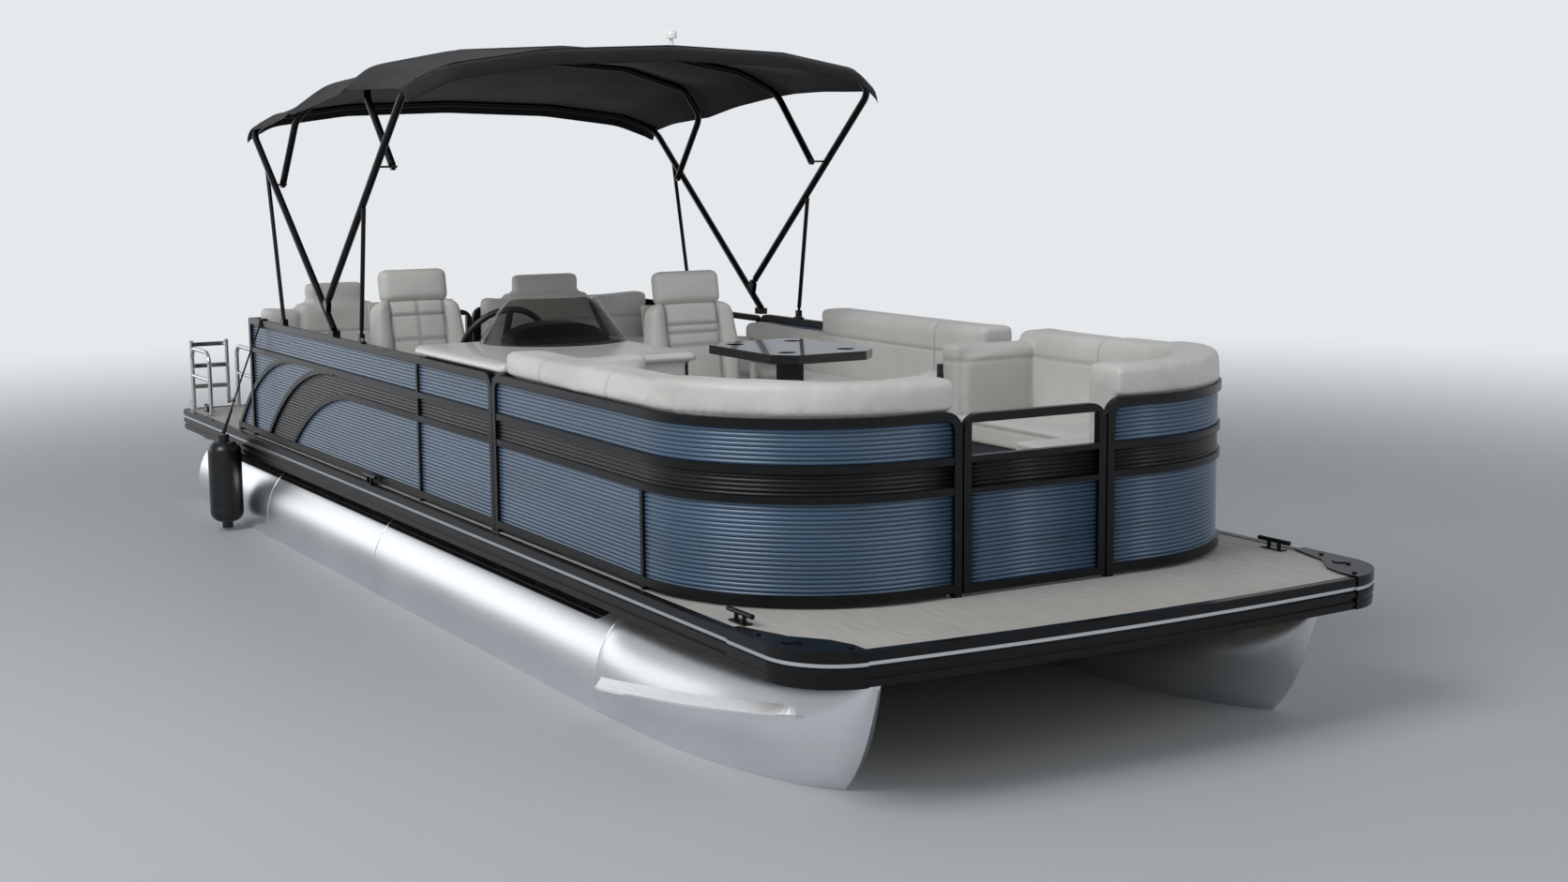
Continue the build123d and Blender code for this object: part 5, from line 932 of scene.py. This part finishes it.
def bow_line(foot, tip, rise):
    """Points along a bow's crown from port to starboard, as the cloth lies on it."""
    run = Vector((tip[0] - foot[0], 0, tip[1] - foot[1]))
    length = run.length
    along = run.normalized()
    base = Vector((foot[0], 0, deck + foot[1]))
    rows = [(bow_half, length - 0.02)]
    rows += [(bow_half * across, length + up * rise) for across, up in crown_corners]
    rows += [(-x, y) for x, y in reversed(rows[:-1])]
    line = evenly(rounded([Vector(row) for row in rows]))
    lifted = []
    for number, point in enumerate(line):
        tangent = line[min(number + 1, last_column)] - line[max(number - 1, 0)]
        out = Vector((tangent.y, -tangent.x)).normalized()
        if out.dot(point - Vector((0, length - 0.6))) < 0:
            out = -out
        lifted.append(point + out * cloth_lift)
    return [base + Vector((0, p.x, 0)) + along * p.y for p in lifted]


def turned_down(line, drop, bulge, share):
    """A row of an end flap, at a share of the way down from its bow's line."""
    return [point.lerp(point + drop, share) + bulge * 4 * share * (1 - share) for point in line]


crowns = [bow_line(*bow) for bow in bows]
stations = [turned_down(crowns[0], Vector((-0.058, 0, -0.070)), Vector((-0.016, 0, 0.012)), share)
            for share in (1.0, 0.66, 0.33)]
# Each bay between two bows: its sag, and how deep its sides are cut.
for number, (sag, cut) in enumerate(((0.030, 0.10), (0.040, 0.13), (0.032, 0.11))):
    aft_line, fore_line = crowns[number], crowns[number + 1]
    for step in range(14):
        share = step / 14
        belly = 4 * share * (1 - share)
        row = []
        for index in range(last_column + 1):
            v = (index - middle_column) / middle_column
            edge = max(0, (abs(v) - 0.80) / 0.20)
            inner = index + (-1 if v > 0 else 1) * cut * belly * edge * 0.5 * 12
            column, spare = int(inner), inner - int(inner)
            column = max(0, min(last_column - 1, column))
            near = aft_line[column].lerp(aft_line[column + 1], spare)
            far = fore_line[column].lerp(fore_line[column + 1], spare)
            point = near.lerp(far, share)
            point.z -= sag * belly * (1 - 0.6 * abs(v))
            point.y *= 1 - 0.012 * belly * abs(v)
            point.z += 0.0025 * math.sin(point.y * 9 + number) * math.sin(point.x * 14 + 2 * number) * belly
            row.append(point)
        stations.append(row)
stations.append(crowns[3])
stations += [turned_down(crowns[3], Vector((0.056, 0, -0.075)), Vector((0.016, 0, 0.012)), share)
             for share in (0.33, 0.66, 1.0)]
last_station = len(stations) - 1
cloth = grid("canopy_sheet", last_column, last_station)
for vertex in cloth.data.vertices:
    column = int(round((vertex.co.x + 1) / 2 * last_column))
    row = int(round((vertex.co.y + 1) / 2 * last_station))
    vertex.co = stations[row][column]
cloth.data.update()
applied(cloth, "SOLIDIFY", thickness=0.0016, offset=0)
applied(cloth, "SUBSURF", levels=1, render_levels=1)
bpy.ops.object.shade_smooth()
cloth.data.materials.append(canvas)
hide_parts("canopy_cloth")
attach(cloth, "hull")
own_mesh(cloth)

# All-round light: a white lens on a short stem, at the middle of the canopy's forward bow.
# The lens is a dense white plastic with a dull gloss.
opal, tree, shader, place = new_finish("opal_lens")
feed(tree, shader, {"Base Color": "#E8E8E4", "Roughness": 0.25})
put_on(opal, "canopy_light")

# Ladder, its rails and the propeller: polished stainless steel, faintly streaked by hand polishing.
# The streaks change only its roughness.
stainless, tree, shader, place = new_finish("polished_stainless")
hand = add(tree, "ShaderNodeMapping", {}, {"Vector": place, "Scale": (60, 60, 8)})
streaks = add(tree, "ShaderNodeTexNoise", {}, {"Vector": hand, "Scale": 1.0, "Detail": 3.0})
rough = add(tree, "ShaderNodeMapRange", {}, {"Value": streaks, "To Min": 0.10, "To Max": 0.24})
feed(tree, shader, {"Base Color": "#C9C9C7", "Metallic": 1.0, "Roughness": rough})
put_on(stainless, "ladder_rails", "boarding_ladder", "propeller")

# Fender: a blown vinyl tube with closed ends, black, with a soft gloss and light scuffs.
# It hangs at the stern on its line.
fender_vinyl, tree, shader, place = new_finish("black_fender_vinyl")
rubbed = add(tree, "ShaderNodeMapping", {}, {"Vector": place, "Scale": (14, 14, 50)})
scuff = add(tree, "ShaderNodeTexNoise", {}, {"Vector": rubbed, "Scale": 1.0, "Detail": 5.0})
tone = add(tree, "ShaderNodeValToRGB", {}, {"Fac": scuff}, [(0.4, "#0B0C0E"), (0.75, "#191A1D")])
feed(tree, shader, {"Base Color": tone, "Roughness": 0.32})
put_on(fender_vinyl, "fender")

# Fender line: 10 mm braided polyester, black with a pale fleck, hitched round the fence's top tube and
# spliced to the fender's eye. The fender's weight holds it almost straight.
braid, tree, shader, place = new_finish("black_braided_polyester")
fleck = add(tree, "ShaderNodeTexVoronoi", {}, {"Vector": place, "Scale": 260.0})
tone = add(tree, "ShaderNodeValToRGB", {}, {"Fac": fleck}, [(0.10, "#9A9A98"), (0.16, "#141517")])
bump = add(tree, "ShaderNodeBump", {}, {"Strength": 0.5, "Distance": 0.001, "Height": fleck})
feed(tree, shader, {"Base Color": tone, "Roughness": 0.7, "Normal": bump})
rope_radius = 0.005
rail_half = 0.016
splice_half = 0.011
splice_length = 0.17
hitch = Vector((-2.120, -1.234, deck + 0.651))
line_top = Vector((-2.120, -1.258, deck + 0.641))
line_foot = Vector((-2.470, -1.392, deck + 0.010))
bpy.ops.object.select_all(action="DESELECT")
bpy.ops.curve.primitive_nurbs_path_add()
rope = bpy.context.object
rope.name = "fender_rope"
rope.location = (0, 0, 0)
route = rope.data.splines[0]
for point, share in zip(route.points, (0, 0.25, 0.5, 0.75, 1)):
    belly = 4 * share * (1 - share)
    spot = line_top.lerp(line_foot, share) + Vector((0.004, -0.006, -0.004)) * belly
    point.co = (*spot, 1)
route.order_u = 3
route.use_endpoint_u = True
route.resolution_u = 12
rope.data.bevel_depth = rope_radius
rope.data.bevel_resolution = 4
rope.data.use_fill_caps = True
rope.data.materials.append(braid)
turns = []
for step in (-0.0055, 0.0055):
    bpy.ops.object.select_all(action="DESELECT")
    bpy.ops.mesh.primitive_torus_add(major_radius=rail_half + rope_radius, minor_radius=rope_radius,
                                     major_segments=48, minor_segments=10)
    turn = bpy.context.object
    for vertex in turn.data.vertices:
        ring = vertex.co.to_2d()
        away = ring.normalized()
        square = (abs(away.x) ** 5 + abs(away.y) ** 5) ** -0.2
        ring += away * (rail_half + rope_radius) * (square - 1)
        vertex.co = hitch + Vector((step + vertex.co.z, ring.x, ring.y))
    turns.append(turn)
bpy.ops.object.select_all(action="DESELECT")
bpy.ops.mesh.primitive_uv_sphere_add(segments=24, ring_count=16, radius=1)
knot = bpy.context.object
for vertex in knot.data.vertices:
    vertex.co = line_top + Vector((vertex.co.x * 0.011, vertex.co.y * 0.009, vertex.co.z * 0.015))
turns.append(knot)
run = (line_top - line_foot).normalized()
bpy.ops.object.select_all(action="DESELECT")
bpy.ops.mesh.primitive_cone_add(vertices=24, radius1=splice_half, radius2=rope_radius + 0.001,
                                depth=splice_length)
splice = bpy.context.object
swing = run.to_track_quat("Z", "Y").to_matrix()
for vertex in splice.data.vertices:
    vertex.co = line_foot + run * splice_length / 2 + swing @ vertex.co
turns.append(splice)
hitches = joined(turns, "fender_line_hitch")
bpy.ops.object.shade_smooth_by_angle(angle=math.radians(50))
hitches.data.materials.append(braid)
for piece in (rope, hitches):
    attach(piece, "hull")
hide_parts("fender_line")

# Motor cowl: a moulded cover in gloss black paint under clear coat.
# The paint is faintly uneven, as orange peel, in ripples of 4 mm.
cowl_paint, tree, shader, place = new_finish("gloss_black_cowl_paint")
peel = add(tree, "ShaderNodeTexNoise", {}, {"Vector": place, "Scale": 240.0, "Detail": 2.0})
bump = add(tree, "ShaderNodeBump", {}, {"Strength": 0.06, "Distance": 0.0004, "Height": peel})
feed(tree, shader, {"Base Color": "#0D0D0F", "Roughness": 0.2, "Coat Weight": 1.0, "Normal": bump})
put_on(cowl_paint, "motor_cowl")
